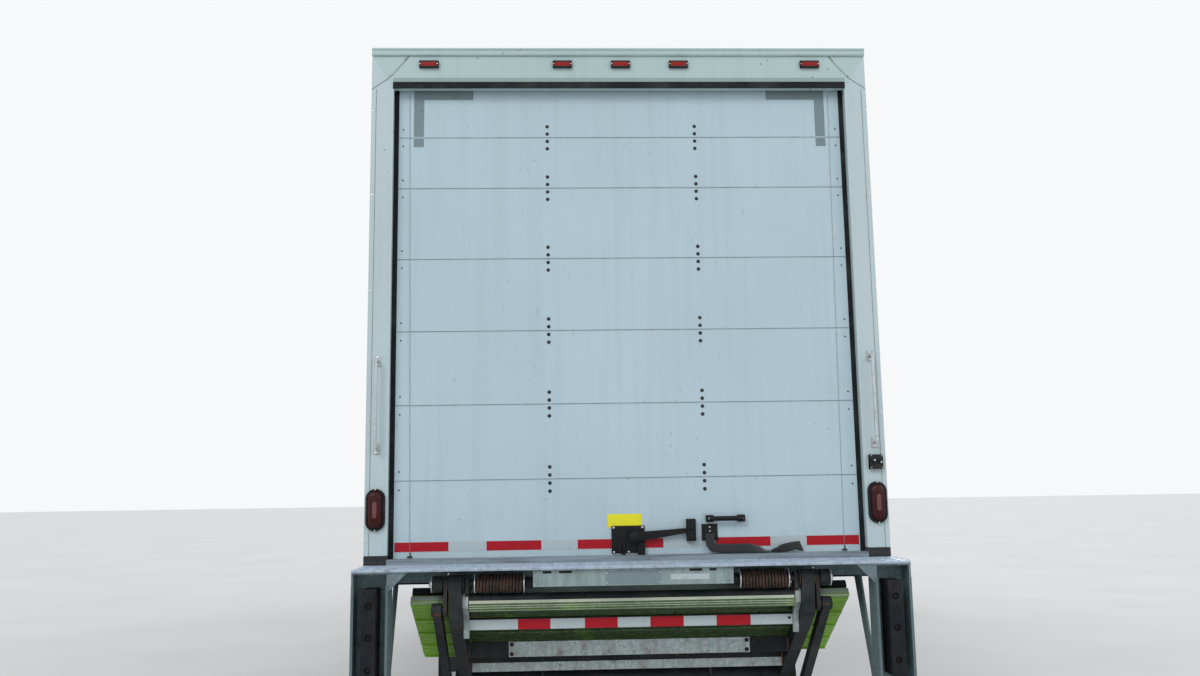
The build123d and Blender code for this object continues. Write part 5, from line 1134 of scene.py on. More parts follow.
# Load box: rivet rows, seams, rails, tapes and side lamps
def body_sides():
    wall_x, low_z, high_z = 1.2905, 1.293, 3.755
    low_y, high_y, pitch = -5.085, 2.520, 0.4064
    whole = (low_y, high_y)
    rivets = Piece("wall_rivets", bright_zinc, slot="galvanised")
    seams = Piece("wall_seams", body_white, slot="body_white")
    for index in range(int((high_y - low_y) / pitch) + 1):
        y = low_y + 0.095 + index * pitch
        for step in range(24):
            rivets.stud((wall_x, y, low_z + 0.050 + step * 0.1025), right)
        if index and index % 3 == 0:
            seams.box((wall_x, wall_x + 0.0012), (y + 0.014, y + 0.048), (low_z, high_z))
            for step in range(24):
                rivets.stud((wall_x + 0.0010, y + 0.031, low_z + 0.10 + step * 0.1), right, 0.005)
    for index, z in product(range(75), (1.262, 1.152, 3.776, 3.842)):
        rivets.stud((half_body, low_y + 0.05 + index * 0.1015, z), right, 0.0055)
    rivets.both_sides().done()
    for proud, y_span in ((0.0045, (2.496, 2.544)), (0.0040, (low_y, low_y + 0.045))):
        seams.box((wall_x - 0.001, wall_x + proud), y_span, (low_z, high_z))
    for z in (1.2915, 3.757):
        seams.tube([(half_body - 0.0015, low_y + 0.01, z), (half_body - 0.0015, high_y, z)], 0.0025, 6)
    seams.use(sheet_aluminium)
    for z_span in ((1.139, 1.166), (1.252, 1.282), (3.768, 3.784)):
        seams.box((half_body - 0.002, half_body + 0.0012), whole, z_span)
    seams.both_sides().done(0.0008)

    tapes = Piece("side_tapes", tape_white, slot="body_white")
    for index, (paint, start, end) in product(range(6), ((tape_red, 0.10, 0.38), (tape_white, 0.38, 0.56))):
        y = low_y + index * 1.195
        tapes.use(paint).box((half_body - 0.001, half_body + 0.0009), (y + start, y + end), (1.184, 1.234))
    tapes.both_sides().done()

    lamps = Piece("side_lamps", lens_red, slot="lamp_red")
    for y, z, glass in ((-5.000, 1.210, lens_red), (-1.300, 1.210, lens_amber), (2.440, 1.210, lens_amber),
                        (-5.000, 3.810, lens_red), (2.440, 3.810, lens_amber)):
        lamps.use(black_plastic).box((half_body - 0.001, half_body + 0.005), about(y, 0.040), about(z, 0.018))
        lamps.use(glass).rings([[(half_body + out, y + reach * across, z + tall * lift) for across, lift in
                                 ((-1, -1), (1, -1), (1, 1), (-1, 1))] for out, reach, tall in
                                ((0.004, 0.031, 0.014), (0.010, 0.030, 0.013), (0.0125, 0.026, 0.009))])
    lamps.both_sides().done(0.001)


def front_and_roof():
    front = Piece("front_wall_detail", body_white, slot="body_white")
    for x, step in product((-0.8128, -0.4064, 0.0, 0.4064, 0.8128), range(23)):
        front.stud((x, front_y, 1.36 + step * 0.105), ahead)
    front.use(sheet_aluminium)
    for z_span in ((1.140, 1.250), (3.842, 3.868)):
        front.box(about(0, 1.195), (front_y - 0.001, front_y + 0.0025), z_span)
    front.use(bright_zinc)
    for step, z in product(range(24), (1.155, 1.235, 3.855)):
        front.stud((-1.15 + step * 0.1, front_y + 0.0025, z), ahead, 0.0055)
    front.done(0.0008)

    fold_x, fold_z = 0.632, 3.883

    def roof_z(across):
        """The crowned roof: a flatter middle between two folds."""
        return fold_z + (0.004 if across < fold_x else 0.010) * (1 - across / fold_x)

    top = Piece("roof_seams", sheet_aluminium, slot="aluminium_sheet")
    half_line = (0.3, fold_x, 0.95, 1.262)
    for index in range(1, 12):
        top.tube([(x, -5.085 + index * 0.6096, min(roof_z(abs(x)), top_z - 0.0012) - 0.0025)
                  for x in (*[-x for x in reversed(half_line)], 0, *half_line)], 0.0035, 6)
    for side, step in product((-1, 1), range(76)):
        top.stud((side * 1.235, -5.05 + step * 0.101, roof_z(1.235) - 0.0005), up, 0.005)
    top.done()


def underbody():
    # Just inside and just outside a frame rail
    inner_x, outer_x = 0.349, 0.4405

    ties = Piece("body_ties", chassis_black, slot="chassis_black")
    for y in (-4.20, -3.00, -0.90, 0.50, 1.70, 2.45):
        ties.box((0.4325, outer_x), about(y, 0.045), (0.955, 1.130))
        for z, shift in ((0.975, 0.022), (1.010, -0.022), (1.075, -0.022), (1.110, 0.022)):
            ties.bolt((outer_x, y + shift, z), right)
    ties.use(rusty_steel)
    for y in (-3.60, -0.20, 2.10):
        for x in (inner_x, outer_x):
            ties.tube([(x, y, 0.774), (x, y, 1.100)], 0.009).bolt((x, y, 0.776), down, 0.012)
        ties.box((0.335, 0.455), about(y, 0.022), (0.776, 0.788))
    ties.both_sides().done(0.001)

    clamps = Piece("spring_clamps", rusty_steel, slot="rusty_steel")
    for axle_y, half_gap, low_z, high_z, reach, top in ((rear_axle_y, 0.052, 0.432, 0.702, 0.40, 0.694),
                                                        (front_axle_y, 0.058, 0.372, 0.583, 0.36, 0.576)):
        for y in about(axle_y, half_gap):
            clamps.tube([(x, y, z) for x, z in
                         ((0.3495, low_z - 0.030), (0.3495, high_z), (0.3560, high_z + 0.008),
                          (0.4340, high_z + 0.008), (outer_x, high_z), (outer_x, low_z - 0.030))], 0.0085, 10)
            for x in (0.3495, outer_x):
                clamps.bolt((x, y, low_z), down, 0.0125)
        clamps.box((0.338, 0.452), about(axle_y, half_gap + 0.018), (low_z, low_z + 0.014))
        clamps.box((0.362, 0.428), about(axle_y, half_gap + 0.012), (high_z - 0.006, high_z + 0.012))
        for y in about(axle_y, reach):
            for low_x, high_x, low, high in ((0.357, 0.3605, -0.050, 0.022), (0.4295, 0.433, -0.050, 0.022),
                                             (0.357, 0.433, 0.018, 0.024)):
                clamps.box((low_x, high_x), about(y, 0.018), (top + low, top + high))
    clamps.both_sides().done(0.0008)

    brakes = Piece("brake_chambers", chassis_black, slot="chassis_black")
    x, y, z = 0.305, -1.985, 0.600
    brakes.lathe([(0, 0.050), (0.010, 0.062), (0.045, 0.070), (0.050, 0.078), (0.060, 0.078), (0.065, 0.070),
                  (0.100, 0.068), (0.110, 0.072), (0.116, 0.080), (0.126, 0.080), (0.132, 0.072),
                  (0.180, 0.066), (0.196, 0.050), (0.200, 0.018)], (x, y, z), ahead, 36)
    brakes.box(about(x, 0.050), (y - 0.075, y + 0.002), about(z, 0.012))
    brakes.use(bright_zinc).rod((x, y - 0.070, z + 0.020), (x, y, z + 0.020), 0.008, 12)
    for angle in (0.6, 3.7):
        brakes.bolt((x + 0.082 * math.cos(angle), y + 0.050, z + 0.082 * math.sin(angle)), ahead, 0.007)
    brakes.both_sides().done(0.001)

    gear = Piece("axle_hardware", rusty_steel, slot="rusty_steel")
    cover_y = rear_axle_y - 0.130
    for across, lift in circle(12, 0.130):
        gear.bolt((across, cover_y, axle_z + lift), back, 0.009)
    gear.rod((0, cover_y - 0.016, axle_z - 0.02), (0, cover_y - 0.025, axle_z - 0.02), 0.014, 6)
    for out in (-1, 1):
        gear.collar(0.0785, 0.102, 0, 0.012, (out * 0.62, rear_axle_y, axle_z), (out, 0, 0), 36)
    gear.use(chassis_black)
    gear.lathe([(0, 0.098), (0.004, 0.104), (0.010, 0.100), (0.016, 0.070)], (0, cover_y, axle_z), back, 40)
    gear.done(0.0008)

    shocks = Piece("front_shocks", chassis_black, slot="chassis_black")
    low, high = Vector((0.475, 4.470, 0.400)), Vector((0.475, 4.330, 0.900))
    shocks.lathe([(0.03, 0.028), (0.035, 0.031), (0.22, 0.031), (0.225, 0.028)], low, high - low, 26)
    shocks.lathe([(0.20, 0.034), (0.44, 0.034), (0.45, 0.030), (0.485, 0.012)], low, high - low, 26)
    for place in (low, high):
        shocks.use(chassis_black).lathe([(-0.022, 0.022), (0.022, 0.022)], place, right, 22)
        shocks.use(rusty_steel).bolt(place + Vector((0.022, 0, 0)), right)
    shocks.use(chassis_black).box((0.4325, 0.455), (4.300, 4.360), (0.870, 0.930))
    shocks.both_sides().done(0.0008)

    flaps = Piece("flap_hardware", zinc, slot="galvanised")
    flap_y = -2.7500
    flaps.box((0.605, 1.225), (flap_y - 0.0035, flap_y), (0.952, 0.988))
    flaps.box((0.640, 1.190), (flap_y - 0.0025, flap_y), (0.275, 0.315))
    for step in range(6):
        flaps.bolt((0.64 + step * 0.11, flap_y - 0.0035, 0.970), back, 0.007)
    for step in range(4):
        flaps.rivet((0.70 + step * 0.145, flap_y - 0.0025, 0.295), back, 0.006)
    flaps.both_sides().done(0.0008)


def tread_dimples(piece, first_x, first_y, pitch, count, levels):
    """Rows of raised dimples on steps."""
    for low_z, row, column in product(levels, range(count), range(4)):
        piece.lathe([(0, 0.010), (0.0016, 0.009), (0.0016, 0.006)],
                    (first_x + column * 0.035 + 0.012 * (row % 2), first_y + row * pitch, low_z), up, 8)


def boxes_and_pipes():
    pump = Piece("pump_box_detail", black_plastic, slot="black_plastic")
    pump.box((0.8605, 0.8665), (-3.640, -3.201), (0.672, 1.006))
    for y in (-3.615, -3.226):
        pump.box((0.8625, 0.8715), about(y, 0.010), (0.690, 0.990))
    pump.use(bright_zinc)
    for y in (-3.56, -3.28):
        pump.box((0.8665, 0.8745), about(y, 0.012), (0.955, 1.000)).rivet((0.8745, y, 0.990), right, 0.004)
        pump.rod((0.8700, y, 0.948), (0.8700, y, 0.956), 0.006, 10)
    pump.use(tape_grey).box((0.8662, 0.8672), (-3.47, -3.37), (0.820, 0.880))
    pump.done(0.0015)

    battery = Piece("battery_box_detail", black_plastic, slot="black_plastic")
    battery.box((0.9905, 0.9965), (3.245, 3.835), (0.650, 0.895))
    tread_dimples(battery.use(sheet_aluminium), 0.955, 3.300, 0.0615, 9, (0.627, 0.937))
    battery.use(bright_zinc)
    for y in (3.36, 3.72):
        battery.box((0.9965, 1.0030), about(y, 0.014), (0.850, 0.900))
    battery.done(0.0012)

    tank = Piece("fuel_tank_detail", sheet_aluminium, slot="aluminium_sheet")
    x, z = -0.7525, 0.769
    for y in (2.962, 3.838):
        tank.collar(0.2695, 0.2735, -0.004, 0.004, (x, y, z), ahead, 64)
    for y, way in ((2.950, back), (3.850, ahead)):
        tank.lathe([(0, 0.250), (0.004, 0.240), (0.010, 0.150), (0.0125, 0.050)], (x, y, z), way, 56)
    cap, way = (x - 0.190, 3.470, z + 0.192), (-0.703, 0, 0.711)
    tank.lathe([(-0.020, 0.046), (0.012, 0.046)], cap, way, 30)
    tread_dimples(tank, -1.112, 3.185, 0.0600, 8, (0.627, 0.947))
    tank.use(black_plastic).lathe([(0.010, 0.052), (0.032, 0.052), (0.036, 0.046)], cap, way, 24)
    tank.use(rusty_steel)
    for y, z in product((3.105, 3.695), (0.640, 0.880)):
        tank.bolt((-0.440, y, z), (-1, 0, 0), 0.009)
    tank.done(0.0008)

    pipe = Piece("exhaust_clamps", bright_zinc, slot="galvanised")
    x, z = 0.6425, 0.769
    for y in (1.56, 2.48):
        pipe.collar(0.0505, 0.056, -0.012, 0.012, (x, y, z), ahead, 36)
        pipe.box((0.630, 0.655), about(y, 0.010), (0.822, 0.842)).bolt((0.655, y, 0.832), right, 0.006)
    pipe.use(rusty_steel)
    for y in (1.580, 2.460):
        pipe.collar(0.1295, 0.134, -0.004, 0.004, (x, y, z), ahead, 48)
    pipe.done(0.0006)

    shaft = Piece("driveshaft_joints", rusty_steel, slot="rusty_steel")
    for place, half in product(((0, 3.400, 0.726), (0, 1.070, 0.712), (0, -1.730, 0.540)),
                               ((0.066, 0, 0), (0, 0, 0.066))):
        shaft.rod(Vector(place) - Vector(half), Vector(place) + Vector(half), 0.020, 18)
    shaft.done(0.0008)


body_sides()
front_and_roof()
underbody()
boxes_and_pipes()


# Cab outside: gaskets, wipers, lamps, handles, hinges and mirrors
def shield_y(z):
    return 4.300 - (z - 1.930) * 0.530 / 0.720


def cab_side_x(z):
    if z < 1.370:
        return 0.970 + (z - 1.110) * 0.060 / 0.260
    return 1.030 - max(0.0, z - 1.950) * 0.110 / 0.710


def rounded(corners, reach=0.045, steps=4):
    """A closed line through the corners, each cut back by reach and rounded."""
    points = []
    corners = [Vector(corner) for corner in corners]
    for index, corner in enumerate(corners):
        before = (corners[index - 1] - corner).normalized() * reach
        after = (corners[(index + 1) % len(corners)] - corner).normalized() * reach
        for step in range(steps + 1):
            share = step / steps
            points.append(corner + before * (1 - share) ** 2 + after * share ** 2)
    return points


def cab_outside():
    seals = Piece("glass_gaskets", black_rubber, slot="black_rubber")
    back_glass_y = 2.8195
    for low_x, low_y, low_z, high_x, high_y, high_z, radius in (
        (0.880, shield_y(1.990) + 0.002, 1.990, 0.800, shield_y(2.590) + 0.002, 2.590, 0.0105),
        (0.420, back_glass_y, 2.070, 0.420, back_glass_y, 2.460, 0.0095),
    ):
        seals.tube(rounded([(-low_x, low_y, low_z), (low_x, low_y, low_z), (high_x, high_y, high_z),
                            (-high_x, high_y, high_z)], 0.060, 5), radius, closed=True)
    seals.done()

    wipers = Piece("wipers", black_plastic, slot="black_plastic")
    for pivot_x in (-0.620, 0.130):
        base = Vector((pivot_x, shield_y(1.962) + 0.006, 1.962))
        middle = Vector((pivot_x + 0.300, shield_y(2.052) + 0.016, 2.052))
        wipers.lathe([(-0.010, 0.017), (0.012, 0.017), (0.018, 0.011)], base, (0, 0.80, 0.59), 18)
        wipers.tube([base + Vector((0, 0.012, 0.008)), base.lerp(middle, 0.35) + Vector((0, 0.016, 0.010)),
                     middle + Vector((0, 0.008, 0.004))], 0.0052)
        for low in (-0.26, -0.13, 0.0, 0.13):
            wipers.tube([middle + Vector((x, -0.002, 0.026 * x)) for x in (low, low + 0.13)], 0.0035, 6)
        wipers.tube([middle + Vector((side * 0.28, -0.010, side * 0.0075)) for side in (-1, 1)], 0.0045, 6)
    wipers.done()

    cab = Piece("cab_trim", cab_white, slot="cab_white")
    rail_x, rail_y = 1.072, 2.905
    cab.tube([(0.9235, 2.880, 2.640), (0.9235, 3.620, 2.640), (0.930, 3.720, 2.590), (0.965, 3.880, 2.370)],
             0.0070)
    cab.use(black_plastic).use(chrome)
    cab.tube([(1.032, rail_y, 1.520), (rail_x, rail_y, 1.540), (rail_x, rail_y, 1.985),
              (rail_x, rail_y, 2.045), (1.022, rail_y, 2.065)], 0.0110, 12)
    for z in (1.520, 2.065):
        cab.lathe([(0, 0.026), (0.005, 0.025), (0.008, 0.018)], (cab_side_x(z), rail_y, z), right, 20)
    cab.both_sides().use(cab_white)
    for z in (1.30, 1.62, 1.94):
        cab.box((-0.90, 0.90), (2.8155, 2.8205), about(z, 0.012))
    cab.use(black_plastic).box((-0.760, 0.760), (4.285, 4.3045), (1.895, 1.912))
    cab.done(0.0012)

    lamps = Piece("cab_roof_lamps", lens_amber)
    for x in (-0.640, -0.190, 0.0, 0.190, 0.640):
        lamps.use(black_plastic).box(about(x, 0.034), (3.560, 3.672), (2.700, 2.7165))
        lamps.use(lens_amber).rings([[(x + wide * across, y + deep * along, z) for across, along in
                                      ((-1, -1), (1, -1), (1, 0.4), (0.45, 1), (-0.45, 1), (-1, 0.4))]
                                     for y, z, wide, deep in
                                     ((3.616, 2.714, 0.030, 0.050), (3.612, 2.736, 0.028, 0.042),
                                      (3.608, 2.752, 0.020, 0.028))])
    lamps.done(0.002)

    for side, word in sides:
        door_outside(side, word)
        door_inside(side, word)


def door_outside(side, word):
    """A door's window gasket, handle, lock, mirror glasses and mirror arm hinges."""
    door = Piece("cab_door_trim_" + word, black_rubber, "door_" + word, slot="black_rubber")
    out_way, face = (side, 0, 0), side * 1.030
    door.tube(rounded([(side * (cab_side_x(z) + 0.001), y, z) for y, z in
                       ((3.075, 1.980), (4.035, 1.980), (3.600, 2.515), (3.075, 2.515))], 0.055), 0.0085,
                       closed=True)
    door.use(black_plastic)
    door.rings([[(face + side * out, 3.125 + wide * across, 1.795 + tall * lift) for across, lift in
                 ((-1, -0.6), (-0.8, -1), (0.8, -1), (1, -0.6), (1, 0.6), (0.8, 1), (-0.8, 1), (-1, 0.6))]
                for out, wide, tall in ((-0.001, 0.082, 0.034), (0.004, 0.080, 0.032), (0.004, 0.068, 0.024),
                                        (0.002, 0.066, 0.022))])
    door.box((face + side * 0.004, face + side * 0.022), (3.070, 3.172), (1.790, 1.812))
    door.box((face, face + side * 0.018), (3.160, 3.176), (1.784, 1.814))
    door.use(chrome).lathe([(0, 0.0125), (0.006, 0.0115), (0.007, 0.004)],
                           (face + side * 0.001, 3.100, 1.742), out_way, 20)
    mirror_y = 3.8665
    for low_z, high_z, bulge in ((2.105, 2.408, 0.0), (1.992, 2.088, 0.006)):
        line = rounded([(side * x, mirror_y, z) for x, z in
                        ((1.254, low_z), (1.426, low_z), (1.426, high_z), (1.254, high_z))], 0.018, 3)
        middle = Vector((side * 1.340, mirror_y, (low_z + high_z) / 2))
        rings = [line, [point + Vector((0, -0.004, 0)) for point in line]]
        rings += [[middle.lerp(point, share) + Vector((0, -0.004 - bulge * (1 - share ** 2), 0))
                   for point in line]
                  for share in (0.75, 0.45, 0.15)]
        door.use(mirror_face).rings(rings)
        door.use(black_rubber).tube([point + Vector((0, -0.0015, 0)) for point in line], 0.0035, 6,
                                    closed=True)
    door.use(black_plastic)
    for z in (2.040, 2.180):
        door.lathe([(0, 0.024), (0.012, 0.022), (0.026, 0.015)], (side * (cab_side_x(z) - 0.001), 3.900, z),
                   out_way, 20)
        door.lathe([(0, 0.016), (0.030, 0.016)], (side * 1.214, 3.900, z), out_way, 16)
    door.box((side * 1.236, side * 1.241), (3.885, 3.915), (2.010, 2.390))
    door.done(0.0012)


def door_inside(side, word):
    """A door's inner panel with its armrest, pocket, latch handle and window crank."""
    panel = Piece("door_panel_" + word, trim_grey, "door_" + word, slot="trim_grey")
    inner_x, in_way = side * 0.9610, (-side, 0, 0)
    panel.box((side * 0.9600, side * 0.9690), (3.075, 3.870), (1.330, 1.925))
    panel.box((side * 0.9050, inner_x), (3.180, 3.720), (1.590, 1.635))
    panel.box((side * 0.9420, inner_x), (3.100, 3.860), (1.350, 1.470))
    panel.use(black_plastic).box((side * 0.9480, inner_x), (3.360, 3.540), (1.690, 1.730))
    panel.use(chrome).box((side * 0.9440, side * 0.9500), (3.400, 3.500), (1.700, 1.720))
    panel.use(black_plastic).lathe([(0, 0.026), (0.012, 0.024)], (side * 0.9600, 3.640, 1.520), in_way, 24)
    panel.rod((side * 0.9470, 3.640, 1.520), (side * 0.9300, 3.560, 1.540), 0.007, 12)
    panel.lathe([(0, 0.013), (0.024, 0.016)], (side * 0.9360, 3.560, 1.540), in_way, 16)
    panel.done(0.004)


def hood_side_x(y):
    return 0.940 - (y - 4.308) * 0.300 / 0.997


def hood_outside():
    nose = Piece("hood_trim", chrome, "hood", slot="bumper_chrome")
    nose.tube([(0.690, 5.4215, 1.010), (0.934, 5.4210, 1.024), (1.030, 5.3970, 1.030), (1.030, 5.3970, 1.200),
               (0.978, 5.4100, 1.197), (0.690, 5.4110, 1.180)], 0.0072, closed=True)
    nose.use(latch_black).use(bright_zinc).use(black_rubber)
    for step in range(6):
        y = 4.520 + step * 0.062
        x = hood_side_x(y)
        nose.prism([(x - 0.006, y - 0.014), (x + 0.0045, y - 0.006), (x + 0.0005, y + 0.014),
                    (x - 0.006, y + 0.014)],
                   2, 1.455, 1.605)
    x = hood_side_x(4.360)
    nose.box((x - 0.004, x + 0.010), (4.338, 4.382), (1.500, 1.560))
    nose.tube([(x + out, y, 1.530) for out, y in ((0.012, 4.378), (0.020, 4.350), (0.024, 4.322))], 0.008)
    nose.both_sides().use(chrome)
    grille_low, grille_high, trim_y = 0.8725, 1.4075, (5.4350, 5.4440)
    for x in (-0.4925, 0.4925):
        nose.box(about(x, 0.011), trim_y, (0.862, 1.418))
    for z in (grille_low, grille_high):
        nose.box((-0.5030, 0.5030), trim_y, about(z, 0.011))
    nose.use(latch_black)
    for index in range(46):
        nose.box(about(-0.450 + index * 0.020, 0.001), (5.4085, 5.4105), (0.890, 1.390))
    for index in range(6):
        nose.box((-0.452, 0.452), (5.4080, 5.4100), about(0.95 + index * 0.075, 0.001))
    nose.use(bright_zinc)
    for x, z in product((-0.30, 0.0, 0.30), (grille_low, grille_high)):
        nose.rivet((x, trim_y[1], z), ahead, 0.006)
    nose.done(0.0012)

    body = Piece("hood_pressings", cab_white, "hood", slot="cab_white")
    line = []
    for step in range(6):
        share = step / 5
        y = 4.360 + 0.900 * share
        line.append((0.560 - 0.230 * share, y, 1.8785 - (y - 4.308) * 0.290 / 1.027))
    body.tube(line, 0.0060)
    body.tube([(hood_side_x(y) + 0.001, y, 1.345) for y in (4.340, 4.60, 4.86, 5.10)], 0.0060)
    arch = [math.radians(24 + step * 132 / 24) for step in range(25)]
    arch_radius = 0.6165
    body.tube([(1.2005, 4.540 + arch_radius * math.cos(angle), axle_z + arch_radius * math.sin(angle))
               for angle in arch],
              0.0075)
    body.both_sides().done()

    lights = Piece("headlamp_insides", chrome, "hood", slot="bumper_chrome")
    lamp_x, lamp_z = 0.792, 1.100
    lights.use(polished_cap)
    bowl = ((0, 0.078), (-0.018, 0.072), (-0.036, 0.058), (-0.050, 0.036), (-0.056, 0.016), (-0.060, 0.016),
            (-0.060, 0.030), (-0.040, 0.066), (-0.018, 0.078), (0, 0.083))
    lights.lathe(bowl, (lamp_x, 5.372, lamp_z), ahead, 36, closed=True)
    lights.use(lens_pale)
    lights.lathe([(0, 0.012), (0.026, 0.012), (0.034, 0.006)], (lamp_x, 5.320, lamp_z), ahead, 16)
    lights.use(lens_amber).box((0.905, 1.005), (5.318, 5.352), (1.040, 1.182))
    lights.use(latch_black)
    lights.box((0.698, 1.020), (5.296, 5.306), (1.018, 1.192))
    lights.box((0.698, 0.704), (5.306, 5.370), (1.018, 1.172))
    lights.box((0.884, 0.890), (5.306, 5.366), (1.024, 1.182))
    lights.box((0.698, 1.020), (5.306, 5.352), (1.0165, 1.0225))
    lights.both_sides().done(0.001)

    bumper = Piece("bumper_bolts", chrome, slot="bumper_chrome")
    for x, z in product((0.960, 1.110), (0.495, 0.605)):
        bumper.lathe([(-0.002, 0.017), (0.004, 0.0165), (0.008, 0.012), (0.010, 0.005)],
                     (x, 5.540 - (x - 0.870) * 0.290, z), (0.279, 0.960, 0), 20)
    bumper.use(chassis_black)
    bumper.tube([(x, y, 0.425) for x, y in
                 ((0.385, 5.290), (0.385, 5.440), (0.405, 5.480), (0.425, 5.440), (0.425, 5.290))],
                0.011, 10)
    bumper.both_sides().done()


cab_outside()
hood_outside()


# Cab inside: floor mat, liners, dials, pedals and stuffed seats
def cab_inside():
    mat = Piece("cab_floor_mat", black_rubber, slot="black_rubber")
    mat.box((-0.900, 0.900), (2.900, 4.020), (1.1705, 1.1760))
    for index in (*range(5), *range(14, 30)):
        mat.box((-0.880, 0.880), about(2.93 + index * 0.036, 0.004), (1.1755, 1.1785))
    mat.use(trim_grey)
    mat.box((-0.880, 0.880), (2.8820, 2.8880), (1.200, 2.030))
    mat.box((-0.740, 0.740), (2.960, 3.560), (2.6480, 2.6540))
    for x in (-0.430, 0.430):
        mat.box(about(x, 0.230), (3.566, 3.720), (2.5960, 2.6080))
    mat.done(0.002)

    dash = Piece("dash_detail", black_plastic, slot="black_plastic")
    dash.prism([(3.935, 1.860), (4.120, 1.930), (4.120, 1.962), (3.950, 1.975), (3.915, 1.955),
                (3.918, 1.862)],
               0, -0.660, -0.200)
    dash.use(trim_grey).box((0.180, 0.760), (3.9050, 3.9140), (1.560, 1.690))
    dash.use(black_plastic).box((-0.120, 0.120), (3.9060, 3.9130), (1.480, 1.690))
    for x, z in product((-0.078, -0.026, 0.026, 0.078), (1.520, 1.575)):
        dash.use(trim_grey).lathe([(0, 0.017), (0.014, 0.014)], (x, 3.9075, z), back, 20)
    dash.use(latch_black)
    for x in (-0.070, 0.070):
        dash.box(about(x, 0.045), (3.9030, 3.9080), (1.625, 1.672))
    dial_z, dial_way = 1.912, (0, -1, -0.05)
    for x in (-0.560, -0.430, -0.300):
        dash.use(bright_zinc).lathe([(0, 0.050), (0, 0.056), (0.008, 0.054), (0.008, 0.050)],
                                    (x, 3.916, dial_z), dial_way, closed=True)
        dash.use(latch_black).lathe([(0, 0.051), (0.002, 0.051)], (x, 3.917, dial_z), dial_way)
        dash.use(tape_white)
        for step in range(9):
            angle = math.radians(-40 + step * 32.5)
            dash.box(about(x + 0.040 * math.cos(angle), 0.0012), (3.9135, 3.9150),
                     about(dial_z + 0.040 * math.sin(angle), 0.004))
        dash.use(lens_red).tube([(x, 3.9125, dial_z), (x - 0.026, 3.9125, 1.930)], 0.0012, 6)
    dash.use(black_rubber)
    for x in (-0.560, -0.440, -0.310):
        dash.box(about(x, 0.034), (4.030, 4.052), (1.262, 1.352))
        dash.tube([(x, 4.048, 1.305), (x, 4.080, 1.360), (x, 4.085, 1.392)], 0.008)
    dash.use(black_plastic).rod((-0.085, 3.700, 1.176), (-0.085, 3.700, 1.215), 0.055, 24, 0.030)
    dash.use(bright_zinc).tube([(-0.085, 3.700, 1.205), (-0.090, 3.690, 1.400), (-0.105, 3.660, 1.560)],
                               0.008, 10)
    knob = ((0, 0.012), (0.012, 0.023), (0.034, 0.025), (0.048, 0.016), (0.052, 0.006))
    dash.use(black_plastic).lathe(knob, (-0.105, 3.660, 1.556), (-0.02, -0.15, 1), 24)
    dash.done(0.002)


def steering_wheel():
    wheel = Piece("steering_wheel_grip", black_rubber, slot="black_rubber")
    wheel.turn = Matrix.Translation((-0.430, 3.800, 1.840)) @ Matrix.Rotation(math.radians(52), 4, "X")
    rim_radius, grip_radius = 0.206, 0.0172
    wheel.tube([(across, along, 0.0) for across, along in circle(72, rim_radius)], grip_radius, 12,
               closed=True)
    wheel.lathe([(0.008, 0.062), (0.020, 0.060), (0.030, 0.048), (0.034, 0.024)], (0, 0, 0), up)
    for across, along in circle(28, rim_radius):
        wheel.lathe([(-0.003, grip_radius), (0, 0.0182), (0.003, grip_radius)], (across, along, 0),
                    (-along, across, 0), 12)
    wheel.use(black_plastic)
    wheel.rod((0.020, 0, -0.052), (0.200, 0.030, -0.060), 0.006, 10, 0.009)
    wheel.lathe([(-0.16, 0.046), (-0.12, 0.052), (-0.045, 0.052), (-0.030, 0.044)], (0, 0, 0), up, 28)
    wheel.done(0.001)


